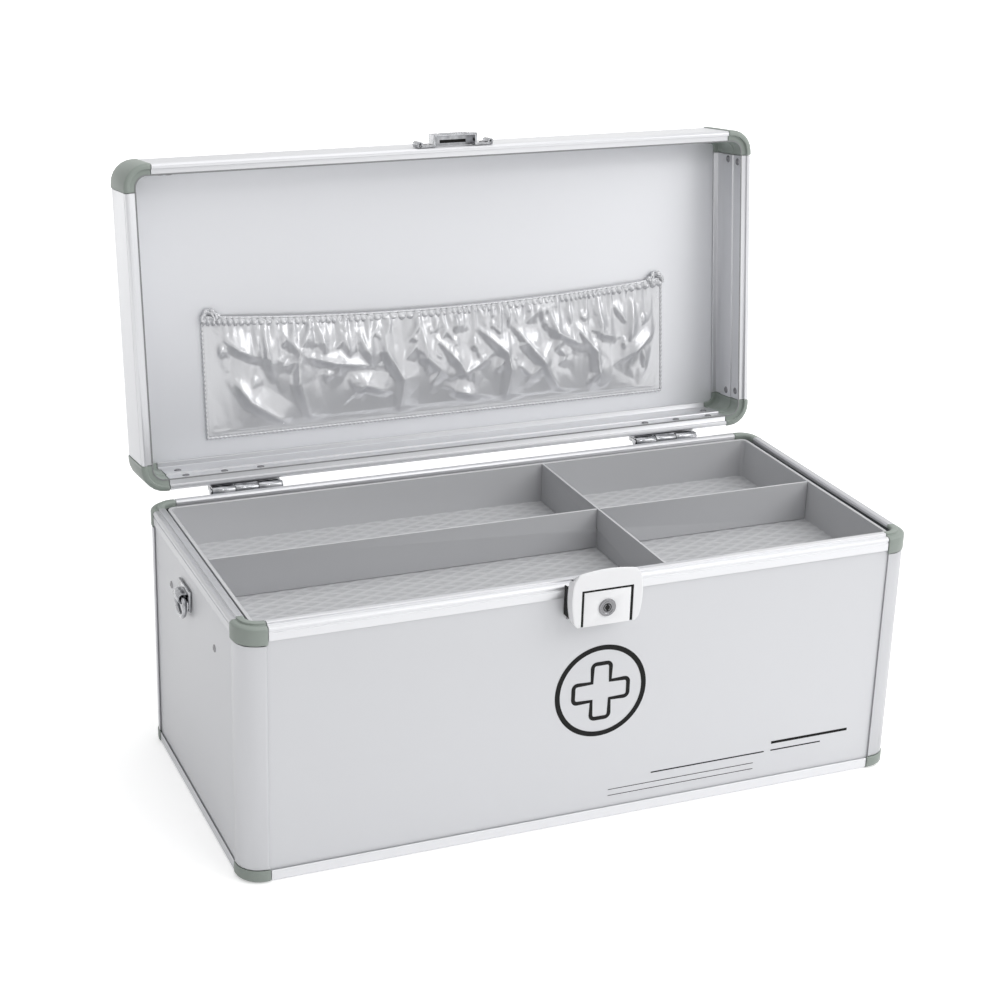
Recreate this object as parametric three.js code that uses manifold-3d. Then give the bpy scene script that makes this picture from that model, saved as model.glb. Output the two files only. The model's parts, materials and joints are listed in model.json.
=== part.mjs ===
// Medicine case with an aluminium frame, a deep hinged lid, a lift-out tray and a push lock.
// Millimetres, +Z up. The origin is the middle of the underside. The lid is drawn open.

import * as THREE from "three";
import { mergeVertices } from "three/addons/utils/BufferGeometryUtils.js";
import Module from "manifold-3d";

// Case
const caseLength = 360;
const caseDepth = 170;
const baseHeight = 134;
const lidHeight = 34;
const openAngle = 97;
const lidGap = 0.4;
const seam = 0.3;
const overrun = 1;

// Boards
const boardThickness = 3.2;

// Corner posts and corner pieces
const postRadius = 12;
const postSkin = 1.2;
const postLip = 1.5;
const postFlange = 4;
const postHollowMargin = 10;
const cornerLeg = 14;
const cornerProud = 0.4;
const cornerSteps = 6;
const topCornerHeight = 12;
const bottomCornerHeight = 10;

// Rails of the base
const lipThickness = 0.7;
const innerWall = 1.3;
const topLipHeight = 9.5;
const rimPlate = 3;
const rimLedge = 1;
const rimChamfer = 0.8;
const rimRound = 1;
const tongueHeight = 1.2;
const bottomLipHeight = 6.5;
const bottomWeb = 2;
const bottomRound = 1.5;
const bottomInnerHeight = 10;
const bottomLedgeReach = 4;
const bottomLedgeThickness = 1.2;
const grooveWidth = 0.9;
const grooveDepth = 0.4;
const topGrooveDrop = 2.6;

// Rails of the lid
const lidRidge = 2.6;
const lidRecess = 1.6;
const ridgeClearance = 0.4;
const lidRailDepth = 6;
const lidBandProud = 0.8;
const lidBandShares = [0.33, 0.74];
const lidLip = 1.2;
const lidLipReach = 2.7;
const lidRound = 4;
const lidRailSkin = 1.3;
const lidGrooveRise = 3;

// Tray and its ledges
const trayGap = 1.7;
const trayTopDrop = 1;
const trayHeight = 24;
const trayWall = 1.8;
const trayRound = 4;
const dividerThickness = 1.2;
const longDividerPlace = 3;
const crossDividerPlace = 42;
const ledgeLength = 110;
const ledgeReach = 9.5;
const ledgeDrop = 10;
const ledgeThickness = 1.2;

// Hinges
const hingeInset = 55;
const hingeWidth = 38;
const leafHeight = 10;
const leafThickness = 1.2;
const knuckleRadius = 2.4;
const knuckleStandoff = 0.8;
const knuckleGap = 0.4;
const hingePinRadius = 1.2;
const hingeHeadRadius = 1.9;
const hingeHeadThickness = 0.7;
const hingeStopReach = 8;
const hingeStopThickness = 2;

// Keeper on the lid
const keeperWidth = 43;
const keeperHeight = 8.2;
const keeperRise = 0.6;
const keeperThickness = 1.3;
const keeperReach = 7;
const bridgeWidth = 25;
const keeperWindowWidth = 15;
const keeperLowerBar = 2;
const keeperUpperBar = 2;

// Lock
const housingWidth = 38;
const housingTop = 10.5;
const housingDrop = 18.8;
const housingDepth = 5.2;
const housingRound = 2.4;
const housingBevel = 0.7;
const flapWidth = 26.8;
const flapSideGap = 0.4;
const flapThickness = 2.8;
const flapInset = 0.2;
const flapRound = 2;
const flapRoundGap = 0.3;
const flapTopGap = 1.4;
const flapBottomGap = 0.2;
const pivotDrop = 0.9;
const keeperClearance = 1;
const lockPlateWidth = 33;
const lockPlateThickness = 1.2;
const lockPlateTopDrop = 0.8;
const lockPlateBottomDrop = 18;
const cheekThickness = 2.3;
const cheekDepth = 4.5;
const cheekTopDrop = 1.5;
const cheekBottomDrop = 16;
const lugWidth = 7.2;
const lugHeight = 5.5;
const lugThickness = 1;
const lockPinRadius = 0.7;
const lockPinClearance = 0.25;
const lockPinEnd = 2.2;
const hookWidth = 10;
const hookThickness = 1.6;
const hookWeb = 2;
const hookTipHeight = 1.6;
const hookOvertake = 0.2;
const hookBevel = 0.8;
const springWire = 0.4;
const springClearance = 0.25;
const springPitch = 0.85;
const springTurns = 3.75;
const springStart = 6.2;
const springLeg = 4;
const springRoom = 0.3;
const springStepsPerTurn = 10;
const keyDrop = 9.7;
const keyRadius = 3.6;
const keyClearance = 0.25;
const keyProud = 0.1;
const keySlotWidth = 0.8;
const keySlotHeight = 3.6;
const keySlotDepth = 6;
const camWidth = 5;
const camLength = 8.5;
const camThickness = 1.2;
const camClearance = 0.4;

// Strap brackets and rings
const strapPlace = 10;
const strapDrop = 21.5;
const strapPlateWidth = 20;
const strapPlateHeight = 11;
const strapPlateThickness = 1.2;
const saddleWidth = 9;
const saddleThickness = 1.2;
const wireClearance = 0.4;
const ringWire = 1.3;
const ringWidth = 19;
const ringHeight = 13;
const ringSteps = 12;
const ringSides = 8;

// Handle on the lid
const handleSpan = 92;
const handleReach = 30;
const handleWire = 2.4;
const handleBend = 5;
const handleOverhang = 1;
const gripLength = 66;
const gripRadius = 5.2;
const gripClearance = 1.8;
const gripShoulder = 6;
const handlePlateLength = 11;
const handlePlateWidth = 14;
const handleSides = 10;
const bendSteps = 4;

// Pocket
const pocketSideInset = 43;
const pocketBackInset = 19;
const pocketHeight = 65;
const pocketSag = 6;
const pocketHem = 1.4;
const pocketPuff = 5.5;
const casingThickness = 4.2;
const casingShare = 0.1;
const pocketFold = 1.1;
const pocketFoldCount = 11;
const pleatDepth = 1.6;
const pleatShares = [-0.56, -0.17, 0.24, 0.66];
const pleatWidthShare = 0.035;
const pocketColumns = 46;
const pocketRows = 11;

// Round pieces
const roundSides = 24;
const smallSides = 14;

// Sizes worked out from the ones above
const boardInset = lipThickness + seam;
const slotBack = lipThickness + boardThickness + 2 * seam;
const wallDepth = slotBack + innerWall;
const rimWidth = wallDepth + rimLedge;
const tongueStart = lidRidge + ridgeClearance;
const boardEdge = postRadius + seam;
const lidRimHeight = baseHeight + lidGap;
const lidSlotTop = lidHeight - lidLip;
const lidSlotBottom = lidSlotTop - boardThickness - 2 * seam;
const lidBoardEdge = lidRailDepth + 2 * seam;
const hingeOut = knuckleRadius + knuckleStandoff;
const hingeRise = lidGap / 2;
const trayInset = rimWidth + trayGap;
const trayTop = baseHeight - trayTopDrop;
const trayBottom = trayTop - trayHeight;
const keeperInner = keeperReach - keeperThickness;
const cheekFront = seam + lockPlateThickness + cheekDepth;
const housingBack = cheekFront + seam;
const housingFront = housingBack + housingDepth;
const flapFront = housingFront - flapInset;
const pivotOut = flapFront - flapRound;
const pivotHeight = baseHeight - pivotDrop;
const flapOpening = flapWidth + 2 * flapSideGap;
const hookFront = keeperInner - seam;

const sides = [
  { name: "front", turn: 0, halfSpan: caseDepth / 2, halfLength: caseLength / 2 },
  { name: "right", turn: 90, halfSpan: caseLength / 2, halfLength: caseDepth / 2 },
  { name: "back", turn: 180, halfSpan: caseDepth / 2, halfLength: caseLength / 2 },
  { name: "left", turn: 270, halfSpan: caseLength / 2, halfLength: caseDepth / 2 },
];
const corners = [
  { name: "front_right", turn: 0, x: caseLength / 2, y: -caseDepth / 2 },
  { name: "back_right", turn: 90, x: caseLength / 2, y: caseDepth / 2 },
  { name: "back_left", turn: 180, x: -caseLength / 2, y: caseDepth / 2 },
  { name: "front_left", turn: 270, x: -caseLength / 2, y: -caseDepth / 2 },
];

// Materials

function finish(color, roughness, metalness) {
  return new THREE.MeshStandardMaterial({ color, roughness, metalness });
}

const boardFinish = finish(0xc9cccd, 0.45, 0.25);
const railFinish = finish(0xd4d7d9, 0.32, 0.85);
const cornerFinish = finish(0xa0aca2, 0.55, 0);
const chromeFinish = finish(0xd8dadc, 0.15, 1);
const lockFinish = finish(0xf1f2f2, 0.25, 0);
const trayFinish = finish(0xb0b4b6, 0.5, 0);
const clothFinish = finish(0xc3c6ca, 0.35, 0.3);
const gripFinish = finish(0x3a3c3e, 0.6, 0);

// Solids

const wasm = await Module();
wasm.setup();

function solidOf(geometry) {
  const bare = geometry.clone();
  bare.deleteAttribute("normal");
  bare.deleteAttribute("uv");
  const merged = mergeVertices(bare);
  return new wasm.Manifold(
    new wasm.Mesh({
      numProp: 3,
      vertProperties: merged.attributes.position.array,
      triVerts: new Uint32Array(merged.index.array),
    }),
  );
}

function geometryOf(solid) {
  const mesh = solid.getMesh();
  const places = new Float32Array(mesh.numVert * 3);
  for (let i = 0; i < mesh.numVert; i++) {
    const from = i * mesh.numProp;
    places.set(mesh.vertProperties.subarray(from, from + 3), i * 3);
  }
  const geometry = new THREE.BufferGeometry();
  geometry.setAttribute("position", new THREE.BufferAttribute(places, 3));
  geometry.setIndex(new THREE.BufferAttribute(new Uint32Array(mesh.triVerts), 1));
  return geometry;
}

function join(...pieces) {
  return geometryOf(pieces.map(solidOf).reduce((whole, piece) => whole.add(piece)));
}

function cut(body, ...tools) {
  return geometryOf(tools.map(solidOf).reduce((rest, tool) => rest.subtract(tool), solidOf(body)));
}

function common(a, b) {
  return geometryOf(solidOf(a).intersect(solidOf(b)));
}

// Shapes

const radians = THREE.MathUtils.degToRad;
const middle = ([from, to]) => (from + to) / 2;
const span = ([from, to]) => to - from;
const mirrored = ([from, to]) => [-to, -from];

function block(x, y, z) {
  const box = new THREE.BoxGeometry(span(x), span(y), span(z));
  return box.translate(middle(x), middle(y), middle(z));
}

// Points of an arc about [cx, cy], angles in degrees
function arc(cx, cy, radius, from, to, steps) {
  const points = [];
  for (let i = 0; i <= steps; i++) {
    const angle = radians(from + ((to - from) * i) / steps);
    points.push([cx + radius * Math.cos(angle), cy + radius * Math.sin(angle)]);
  }
  return points;
}

function roundedRectangle(halfX, halfY, radius, steps = cornerSteps) {
  const x = halfX - radius;
  const y = halfY - radius;
  return [
    ...arc(x, y, radius, 0, 90, steps),
    ...arc(-x, y, radius, 90, 180, steps),
    ...arc(-x, -y, radius, 180, 270, steps),
    ...arc(x, -y, radius, 270, 360, steps),
  ];
}

function shapeOf(points, holes = []) {
  const shape = new THREE.Shape(points.map(([x, y]) => new THREE.Vector2(x, y)));
  shape.holes = holes.map((hole) => new THREE.Path(hole.map(([x, y]) => new THREE.Vector2(x, y))));
  return shape;
}

// An outline in X and Y, raised from one height to another
function raise(points, z, holes) {
  const settings = { depth: span(z), bevelEnabled: false };
  return new THREE.ExtrudeGeometry(shapeOf(points, holes), settings).translate(0, 0, z[0]);
}

// Turns an outline drawn in X and Y, and raised along Z, to lie in Y and Z and run along X
const outlineTurn = new THREE.Quaternion(0.5, 0.5, 0.5, 0.5);

// An outline given as [y, z] pairs, run along X
function run(points, x, holes) {
  return raise(points, x, holes).applyQuaternion(outlineTurn);
}

function rod(radius, x, y, z, count = roundSides) {
  return run(arc(y, z, radius, 0, 360 - 360 / count, count - 1), x);
}

// A skin over rings of points. The cap's triangles close both ends, and without them the loop is closed.
function loft(rings, cap) {
  const count = rings[0].length;
  const places = rings.flat().flatMap((p) => [p.x, p.y, p.z]);
  const faces = [];
  const spans = cap ? rings.length - 1 : rings.length;
  for (let i = 0; i < spans; i++) {
    const here = i * count;
    const there = ((i + 1) % rings.length) * count;
    for (let j = 0; j < count; j++) {
      const k = (j + 1) % count;
      faces.push(here + j, here + k, there + k, here + j, there + k, there + j);
    }
  }
  const end = spans * count;
  for (const [a, b, c] of cap ?? []) {
    faces.push(c, b, a, end + a, end + b, end + c);
  }
  const geometry = new THREE.BufferGeometry();
  geometry.setAttribute("position", new THREE.Float32BufferAttribute(places, 3));
  geometry.setIndex(faces);
  return geometry;
}

function capOf(outline) {
  const flat = outline.map(([x, y]) => new THREE.Vector2(x, y));
  return THREE.ShapeUtils.triangulateShape(flat, []);
}

// A round wire along points in the XY plane, open or closed
function wire(path, radius, count, closed = false) {
  const up = new THREE.Vector3(0, 0, 1);
  const circle = arc(0, 0, radius, 0, 360 - 360 / count, count - 1);
  const at = (i) => {
    const index = closed ? (i + path.length) % path.length : THREE.MathUtils.clamp(i, 0, path.length - 1);
    return new THREE.Vector3(path[index][0], path[index][1], 0);
  };
  const rings = path.map((_, i) => {
    const ahead = at(i + 1).sub(at(i)).normalize();
    const behind = at(i).sub(at(i - 1)).normalize();
    const tangent = ahead.add(behind).normalize();
    const side = new THREE.Vector3().crossVectors(up, tangent);
    return circle.map(([a, b]) => at(i).addScaledVector(side, a).addScaledVector(up, b));
  });
  return loft(rings, closed ? undefined : capOf(circle));
}

// An outline of [inward, up] pairs swept round a corner of the case
function sweepCorner(outline) {
  const start = outline.map(([u, v]) => new THREE.Vector3(-cornerLeg, u, v));
  const end = outline.map(([u, v]) => new THREE.Vector3(-u, cornerLeg, v));
  const bend = arc(0, 0, 1, -90, 0, cornerSteps).map(([cos, sin]) =>
    outline.map(([u, v]) => {
      const radius = postRadius - u;
      return new THREE.Vector3(-postRadius + radius * cos, postRadius + radius * sin, v);
    }),
  );
  return loft([start, ...bend, end], capOf(outline));
}

// Groups

const model = new THREE.Group();
const lid = new THREE.Group();
const tray = new THREE.Group();

function add(parent, name, geometry, material) {
  const mesh = new THREE.Mesh(geometry, material);
  mesh.name = name;
  parent.add(mesh);
  return mesh;
}

function groupAt(parent, x, y, z, turn = 0) {
  const group = new THREE.Group();
  group.position.set(x, y, z);
  group.rotation.z = radians(turn);
  parent.add(group);
  return group;
}

// A side's group: X runs along the side, Y points inward from its outer face, Z is up
function sideGroup(parent, side, z) {
  const turned = groupAt(parent, 0, 0, z, side.turn);
  return groupAt(turned, 0, -side.halfSpan, 0);
}

// Outlines of the rails and corner pieces, as [inward, up] pairs

function groove(proud, height) {
  if (proud) return [];
  const half = grooveWidth / 2;
  return [
    [0, height + half],
    [grooveDepth, height + half],
    [grooveDepth, height - half],
    [0, height - half],
  ];
}

function topRailOutline(proud, lipHeight) {
  return [
    [-proud, -lipHeight],
    [lipThickness, -lipHeight],
    [lipThickness, -rimPlate],
    [slotBack, -rimPlate],
    [slotBack, -topCornerHeight],
    [wallDepth, -topCornerHeight],
    [wallDepth, -rimPlate],
    [rimWidth, -rimPlate],
    [rimWidth, tongueHeight - rimChamfer],
    [rimWidth - rimChamfer, tongueHeight],
    [tongueStart, tongueHeight],
    [tongueStart, 0],
    [rimRound, 0],
    [-proud, -rimRound],
    ...groove(proud, -topGrooveDrop),
  ];
}

function bottomRailOutline(proud, lipHeight) {
  const ledge = boardThickness + seam;
  return [
    [bottomRound, 0],
    [wallDepth, 0],
    [wallDepth, ledge],
    [wallDepth + bottomLedgeReach, ledge],
    [wallDepth + bottomLedgeReach, ledge + bottomLedgeThickness],
    [wallDepth, ledge + bottomLedgeThickness],
    [wallDepth, bottomInnerHeight],
    [slotBack, bottomInnerHeight],
    [slotBack, bottomWeb],
    [lipThickness, bottomWeb],
    [lipThickness, lipHeight],
    [-proud, lipHeight],
    [-proud, bottomRound],
  ];
}

function lidRailOutline(proud) {
  const [bandStart, bandEnd] = lidBandShares.map((share) => share * lidSlotBottom);
  const band = lidRailDepth + lidBandProud;
  const web = lidRailDepth + seam;
  return [
    [rimRound, 0],
    [lidRidge, 0],
    [lidRidge, lidRecess],
    [lidRailDepth, lidRecess],
    [lidRailDepth, bandStart],
    [band, bandStart],
    [band, bandEnd],
    [lidRailDepth, bandEnd],
    [lidRailDepth, lidSlotBottom - lidLip],
    [lidRailDepth + lidLipReach, lidSlotBottom - lidLip],
    [lidRailDepth + lidLipReach, lidSlotBottom],
    [web, lidSlotBottom],
    [web, lidSlotTop],
    [lidRailDepth + lidLipReach, lidSlotTop],
    [lidRailDepth + lidLipReach, lidHeight],
    ...arc(lidRound, lidHeight - lidRound, lidRound + proud, 90, 180, cornerSteps),
    ...groove(proud, lidGrooveRise),
    [-proud, rimRound],
  ];
}

// Boards

function addBoards() {
  const low = bottomWeb + seam;
  const high = baseHeight - rimPlate - seam;
  for (const side of sides) {
    const half = side.halfLength - boardEdge;
    const board = block([-half, half], [boardInset, boardInset + boardThickness], [low, high]);
    add(sideGroup(model, side, 0), side.name + "_panel", board, boardFinish);
  }
  const inset = wallDepth + seam;
  const plate = roundedRectangle(caseLength / 2 - inset, caseDepth / 2 - inset, postRadius - inset);
  add(model, "bottom_panel", raise(plate, [0, boardThickness]), boardFinish);
}

function addLidBoard() {
  const edge = lidBoardEdge;
  const plate = roundedRectangle(caseLength / 2 - edge, caseDepth / 2 - edge, postRadius - edge);
  const place = [lidSlotBottom + seam, lidSlotTop - seam];
  add(lid, "lid_panel", raise(plate, place), boardFinish);
}

// Rails

function addRails(parent, prefix, outline, z, holes) {
  for (const side of sides) {
    const half = side.halfLength - cornerLeg - seam;
    add(sideGroup(parent, side, z), prefix + side.name, run(outline, [-half, half], holes), railFinish);
  }
}

function addCorners(parent, prefix, outline, z) {
  for (const corner of corners) {
    const group = groupAt(parent, corner.x, corner.y, z, corner.turn);
    add(group, prefix + corner.name, sweepCorner(outline), cornerFinish);
  }
}

// The lid rails are hollow
function lidRailHollow() {
  const low = lidGrooveRise + grooveWidth + lidRailSkin;
  const high = lidHeight - lidRound - seam;
  const deep = lidRailDepth - lidRailSkin;
  return [
    [lidRailSkin, low],
    [deep, low],
    [deep, high],
    [lidRailSkin, high],
  ];
}

// A post is a hollow quarter ring with a flange behind each board
function postOutline() {
  const inner = postRadius - wallDepth;
  const swap = ([a, u]) => [-u, -a];
  const leg = [
    [-postRadius, wallDepth],
    [-postRadius - postFlange, wallDepth],
    [-postRadius - postFlange, slotBack],
    [-postRadius, slotBack],
    [-postRadius, lipThickness],
    [-postRadius - postLip, lipThickness],
    [-postRadius - postLip, 0],
  ];
  return [
    ...leg,
    ...arc(-postRadius, postRadius, postRadius, -90, 0, cornerSteps),
    ...leg.map(swap).reverse(),
    ...arc(-postRadius, postRadius, inner, 0, -90, cornerSteps).slice(1, -1),
  ];
}

function postHollow() {
  const outer = postRadius - postSkin;
  const inner = postRadius - wallDepth + postSkin;
  const low = postHollowMargin - 90;
  const high = -postHollowMargin;
  return [
    ...arc(-postRadius, postRadius, outer, low, high, cornerSteps),
    ...arc(-postRadius, postRadius, inner, high, low, cornerSteps),
  ];
}

function addPosts() {
  const place = [bottomCornerHeight + seam, baseHeight - topCornerHeight - seam];
  for (const corner of corners) {
    const group = groupAt(model, corner.x, corner.y, 0, corner.turn);
    add(group, "post_" + corner.name, raise(postOutline(), place, [postHollow()]), railFinish);
  }
}

// Angle strips inside the side boards, which the tray rests on
function addTrayLedges() {
  const top = trayBottom - seam;
  const reach = slotBack + ledgeReach;
  const angle = [
    [slotBack, top],
    [slotBack, top - ledgeDrop],
    [slotBack + ledgeThickness, top - ledgeDrop],
    [slotBack + ledgeThickness, top - ledgeThickness],
    [reach, top - ledgeThickness],
    [reach, top],
  ];
  const along = [-ledgeLength / 2, ledgeLength / 2];
  for (const side of [sides[1], sides[3]]) {
    add(sideGroup(model, side, 0), "tray_ledge_" + side.name, run(angle, along), railFinish);
  }
}

// Hinges, drawn about the middle of the pin

const knuckleWidth = (hingeWidth - 2 * knuckleGap) / 3;
const outerKnuckles = [
  [-hingeWidth / 2, -hingeWidth / 2 + knuckleWidth],
  [hingeWidth / 2 - knuckleWidth, hingeWidth / 2],
];
const middleKnuckle = [-knuckleWidth / 2, knuckleWidth / 2];
const leafPlace = [seam - hingeOut, seam - hingeOut + leafThickness];

function widened([from, to], by) {
  return [from - by, to + by];
}

function turnedOutline(points, degrees) {
  const cos = Math.cos(radians(degrees));
  const sin = Math.sin(radians(degrees));
  return points.map(([y, z]) => [y * cos + z * sin, z * cos - y * sin]);
}

function leaf(knuckles, gaps, z, extras) {
  const plate = block([-hingeWidth / 2, hingeWidth / 2], leafPlace, z);
  const clear = knuckleRadius + knuckleGap;
  const cleared = cut(plate, ...gaps.map((gap) => rod(clear, widened(gap, knuckleGap), 0, 0)));
  const rolled = join(cleared, ...knuckles.map((x) => rod(knuckleRadius, x, 0, 0)), ...extras);
  return cut(rolled, rod(hingePinRadius + seam, [-hingeWidth, hingeWidth], 0, 0, smallSides));
}

// The stop under the open lid leaf, drawn for the closed lid and turned with it
function hingeStop(x) {
  const near = leafPlace[1] + seam;
  const far = near + hingeStopThickness;
  const outline = [
    [near, 0],
    [far, 0],
    [far, hingeStopReach],
    [near, hingeStopReach],
  ];
  return run(turnedOutline(outline, openAngle), x);
}

function hingePin() {
  const end = hingeWidth / 2 + seam;
  const tip = end + hingeHeadThickness;
  const profile = [
    [0, -tip],
    [hingeHeadRadius, -tip],
    [hingeHeadRadius, -end],
    [hingePinRadius, -end],
    [hingePinRadius, end],
    [hingeHeadRadius, end],
    [hingeHeadRadius, tip],
    [0, tip],
  ];
  const points = profile.map(([x, y]) => new THREE.Vector2(x, y));
  return new THREE.LatheGeometry(points, smallSides).rotateZ(Math.PI / 2);
}

function addHinges() {
  const hingePlace = caseLength / 2 - hingeInset;
  const place = { left: -hingePlace, right: hingePlace };
  for (const [name, x] of Object.entries(place)) {
    const base = groupAt(model, x, caseDepth / 2 + hingeOut, baseHeight + hingeRise);
    const stops = outerKnuckles.map(hingeStop);
    const baseLeaf = leaf(outerKnuckles, [middleKnuckle], [-leafHeight, 0], stops);
    add(base, "hinge_base_leaf_" + name, baseLeaf, chromeFinish);
    add(base, "hinge_pin_" + name, hingePin(), chromeFinish);
    const moving = groupAt(lid, x, caseDepth / 2 + hingeOut, -hingeRise);
    const lidLeaf = leaf([middleKnuckle], outerKnuckles, [0, leafHeight], []);
    add(moving, "hinge_lid_leaf_" + name, lidLeaf, chromeFinish);
  }
}

// Keeper: a bent strip with two ears and a raised bridge with a window, seen from above

function keeperGeometry() {
  const ear = keeperWidth / 2;
  const outer = bridgeWidth / 2;
  const inner = outer - keeperThickness;
  const earFront = seam + keeperThickness;
  const half = [
    [ear, -seam],
    [inner, -seam],
    [inner, -keeperInner],
  ];
  const front = [
    [outer, -keeperReach],
    [outer, -earFront],
    [ear, -earFront],
  ];
  const flip = ([x, y]) => [-x, y];
  const strip = [...half, ...half.map(flip).reverse(), ...front.map(flip).reverse(), ...front];
  const z = [keeperRise, keeperRise + keeperHeight];
  const window = block(
    [-keeperWindowWidth / 2, keeperWindowWidth / 2],
    [-keeperReach - overrun, -keeperInner + overrun],
    [z[0] + keeperLowerBar, z[1] - keeperUpperBar],
  );
  return cut(raise(strip.reverse(), z), window);
}

// Lock, drawn about its pivot: Y points inward and Z up

const lockPlace = {
  plate: pivotOut - seam,
  cheek: pivotOut - cheekFront,
  back: pivotOut - housingBack,
  front: pivotOut - housingFront,
  pocket: pivotOut - keeperReach - keeperClearance,
  hook: pivotOut - hookFront,
};
const keyPlace = pivotDrop - keyDrop;

function lockBaseGeometry() {
  const plateFront = lockPlace.plate - lockPlateThickness;
  const plate = block(
    [-lockPlateWidth / 2, lockPlateWidth / 2],
    [plateFront, lockPlace.plate],
    [pivotDrop - lockPlateBottomDrop, pivotDrop - lockPlateTopDrop],
  );
  const cheekX = [lockPlateWidth / 2 - cheekThickness, lockPlateWidth / 2];
  const cheekY = [lockPlace.cheek, plateFront + seam];
  const cheekZ = [pivotDrop - cheekBottomDrop, pivotDrop - cheekTopDrop];
  const lug = block(
    [cheekX[0] - lugWidth, cheekX[1]],
    [lockPlace.cheek, lockPlace.cheek + lugThickness],
    [keyPlace - lugHeight / 2, keyPlace + lugHeight / 2],
  );
  return join(plate, block(cheekX, cheekY, cheekZ), block(mirrored(cheekX), cheekY, cheekZ), lug);
}

function housingGeometry() {
  const width = housingWidth / 2;
  const z = [pivotDrop - housingDrop, pivotDrop + housingTop];
  const body = new THREE.ExtrudeGeometry(
    shapeOf(roundedRectangle(width - housingBevel, span(z) / 2 - housingBevel, housingRound)),
    {
      depth: housingDepth,
      bevelThickness: housingBevel,
      bevelSize: housingBevel,
      bevelSegments: 2,
      curveSegments: cornerSteps,
    },
  );
  body.rotateX(Math.PI / 2).translate(0, lockPlace.back, middle(z));
  const shell = common(
    body.translate(0, housingBevel, 0),
    block([-width, width], [lockPlace.front, lockPlace.back], widened(z, overrun)),
  );
  const x = [-flapOpening / 2, flapOpening / 2];
  const through = [lockPlace.front - overrun, lockPlace.back + overrun];
  const pinEnd = flapOpening / 2 + lockPinEnd + seam;
  return cut(
    shell,
    block(x, through, [z[0] - overrun, flapTopGap]),
    block(x, [lockPlace.pocket, through[1]], [0, z[1] + overrun]),
    rod(flapRound + flapRoundGap, x, 0, 0),
    rod(lockPinRadius + lockPinClearance, [-pinEnd, pinEnd], 0, 0, smallSides),
  );
}

function lockPinGeometry() {
  const end = flapOpening / 2 + lockPinEnd;
  return rod(lockPinRadius, [-end, end], 0, 0, smallSides);
}

function flapGeometry() {
  const x = [-flapWidth / 2, flapWidth / 2];
  const back = flapThickness - flapRound;
  const low = pivotDrop - housingDrop + flapBottomGap;
  const plate = block(x, [-flapRound, back], [low, 0]);
  const webX = [-hookWidth / 2, hookWidth / 2];
  const armBack = lockPlace.hook + hookThickness;
  const tipLow = pivotDrop + lidGap + keeperRise + keeperLowerBar + ridgeClearance;
  const tipHigh = tipLow + hookTipHeight;
  const tipFront = pivotOut - keeperReach - hookOvertake;
  const hook = run(
    [
      [0, -hookWeb / 2],
      [armBack, -hookWeb / 2],
      [armBack, tipHigh],
      [tipFront + hookBevel, tipHigh],
      [tipFront, tipHigh - hookBevel],
      [tipFront, tipLow],
      [lockPlace.hook, tipLow],
      [lockPlace.hook, hookWeb / 2],
      [0, hookWeb / 2],
    ],
    webX,
  );
  const springEnd = springStart + springPitch * springTurns;
  const springX = widened([springStart, springEnd], springWire / 2 + springRoom);
  const room = springRadius + springWire / 2 + springRoom;
  const legBack = springRadius - springWire / 2 - springRoom;
  const bore = lockPinRadius + lockPinClearance;
  const keyBore = new THREE.CylinderGeometry(
    keyRadius + keyClearance,
    keyRadius + keyClearance,
    housingDepth,
    roundSides,
  ).translate(0, 0, keyPlace);
  return cut(
    join(plate, rod(flapRound, x, 0, 0), hook),
    block(springX, [-room, flapRound + overrun], [-room, flapRound + overrun]),
    block(springX, [legBack, flapRound + overrun], [-springLeg - springRoom, 0]),
    rod(bore, widened(x, overrun), 0, 0, smallSides),
    keyBore,
  );
}

const springRadius = lockPinRadius + springClearance + springWire / 2;

// A torsion spring: one leg reaches inward to the plate, the other hangs behind the flap
class SpringLine extends THREE.Curve {
  getPoint(t, target = new THREE.Vector3()) {
    const reach = lockPlace.plate - lockPlateThickness - seam;
    const coil = springTurns * 2 * Math.PI * springRadius;
    const place = t * (reach + coil + springLeg);
    const turned = THREE.MathUtils.clamp(place - reach, 0, coil) / springRadius;
    const angle = -Math.PI / 2 - turned;
    const x = springStart + (springPitch * turned) / (2 * Math.PI);
    const inward = Math.max(reach - place, 0);
    const down = Math.max(place - reach - coil, 0);
    const y = springRadius * Math.cos(angle) + inward;
    return target.set(x, y, springRadius * Math.sin(angle) - down);
  }
}

function springGeometry() {
  const section = shapeOf(arc(0, 0, springWire / 2, 0, 288, 4));
  const steps = Math.round((springTurns + 1) * springStepsPerTurn);
  return new THREE.ExtrudeGeometry(section, {
    steps,
    bevelEnabled: false,
    extrudePath: new SpringLine(),
  });
}

function keyGeometry() {
  const front = lockPlace.front - keyProud;
  const camFront = lockPlace.cheek + lugThickness + camClearance;
  const back = camFront + camThickness;
  const barrel = new THREE.CylinderGeometry(keyRadius, keyRadius, back - front, roundSides);
  barrel.translate(0, (front + back) / 2, 0);
  const cam = block([-camWidth / 2, camWidth / 2], [camFront, back], [-camLength, 0]);
  const slot = block(
    [-keySlotWidth / 2, keySlotWidth / 2],
    [front - overrun, front + keySlotDepth],
    [-keySlotHeight / 2, keySlotHeight / 2],
  );
  return cut(join(barrel, cam), slot);
}

function addLock() {
  const lock = groupAt(model, 0, -caseDepth / 2 - pivotOut, pivotHeight);
  add(lock, "lock_base", lockBaseGeometry(), chromeFinish);
  add(lock, "lock_housing", housingGeometry(), lockFinish);
  add(lock, "lock_pin", lockPinGeometry(), chromeFinish);
  add(lock, "lock_spring", springGeometry(), chromeFinish);
  add(lock, "lock_flap", flapGeometry(), lockFinish);
  add(lock, "key_cylinder", keyGeometry(), chromeFinish).position.z = keyPlace;
}

// Saddles: a plate with a loop over a wire. The wire runs along X, and Z points away from the board.

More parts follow.
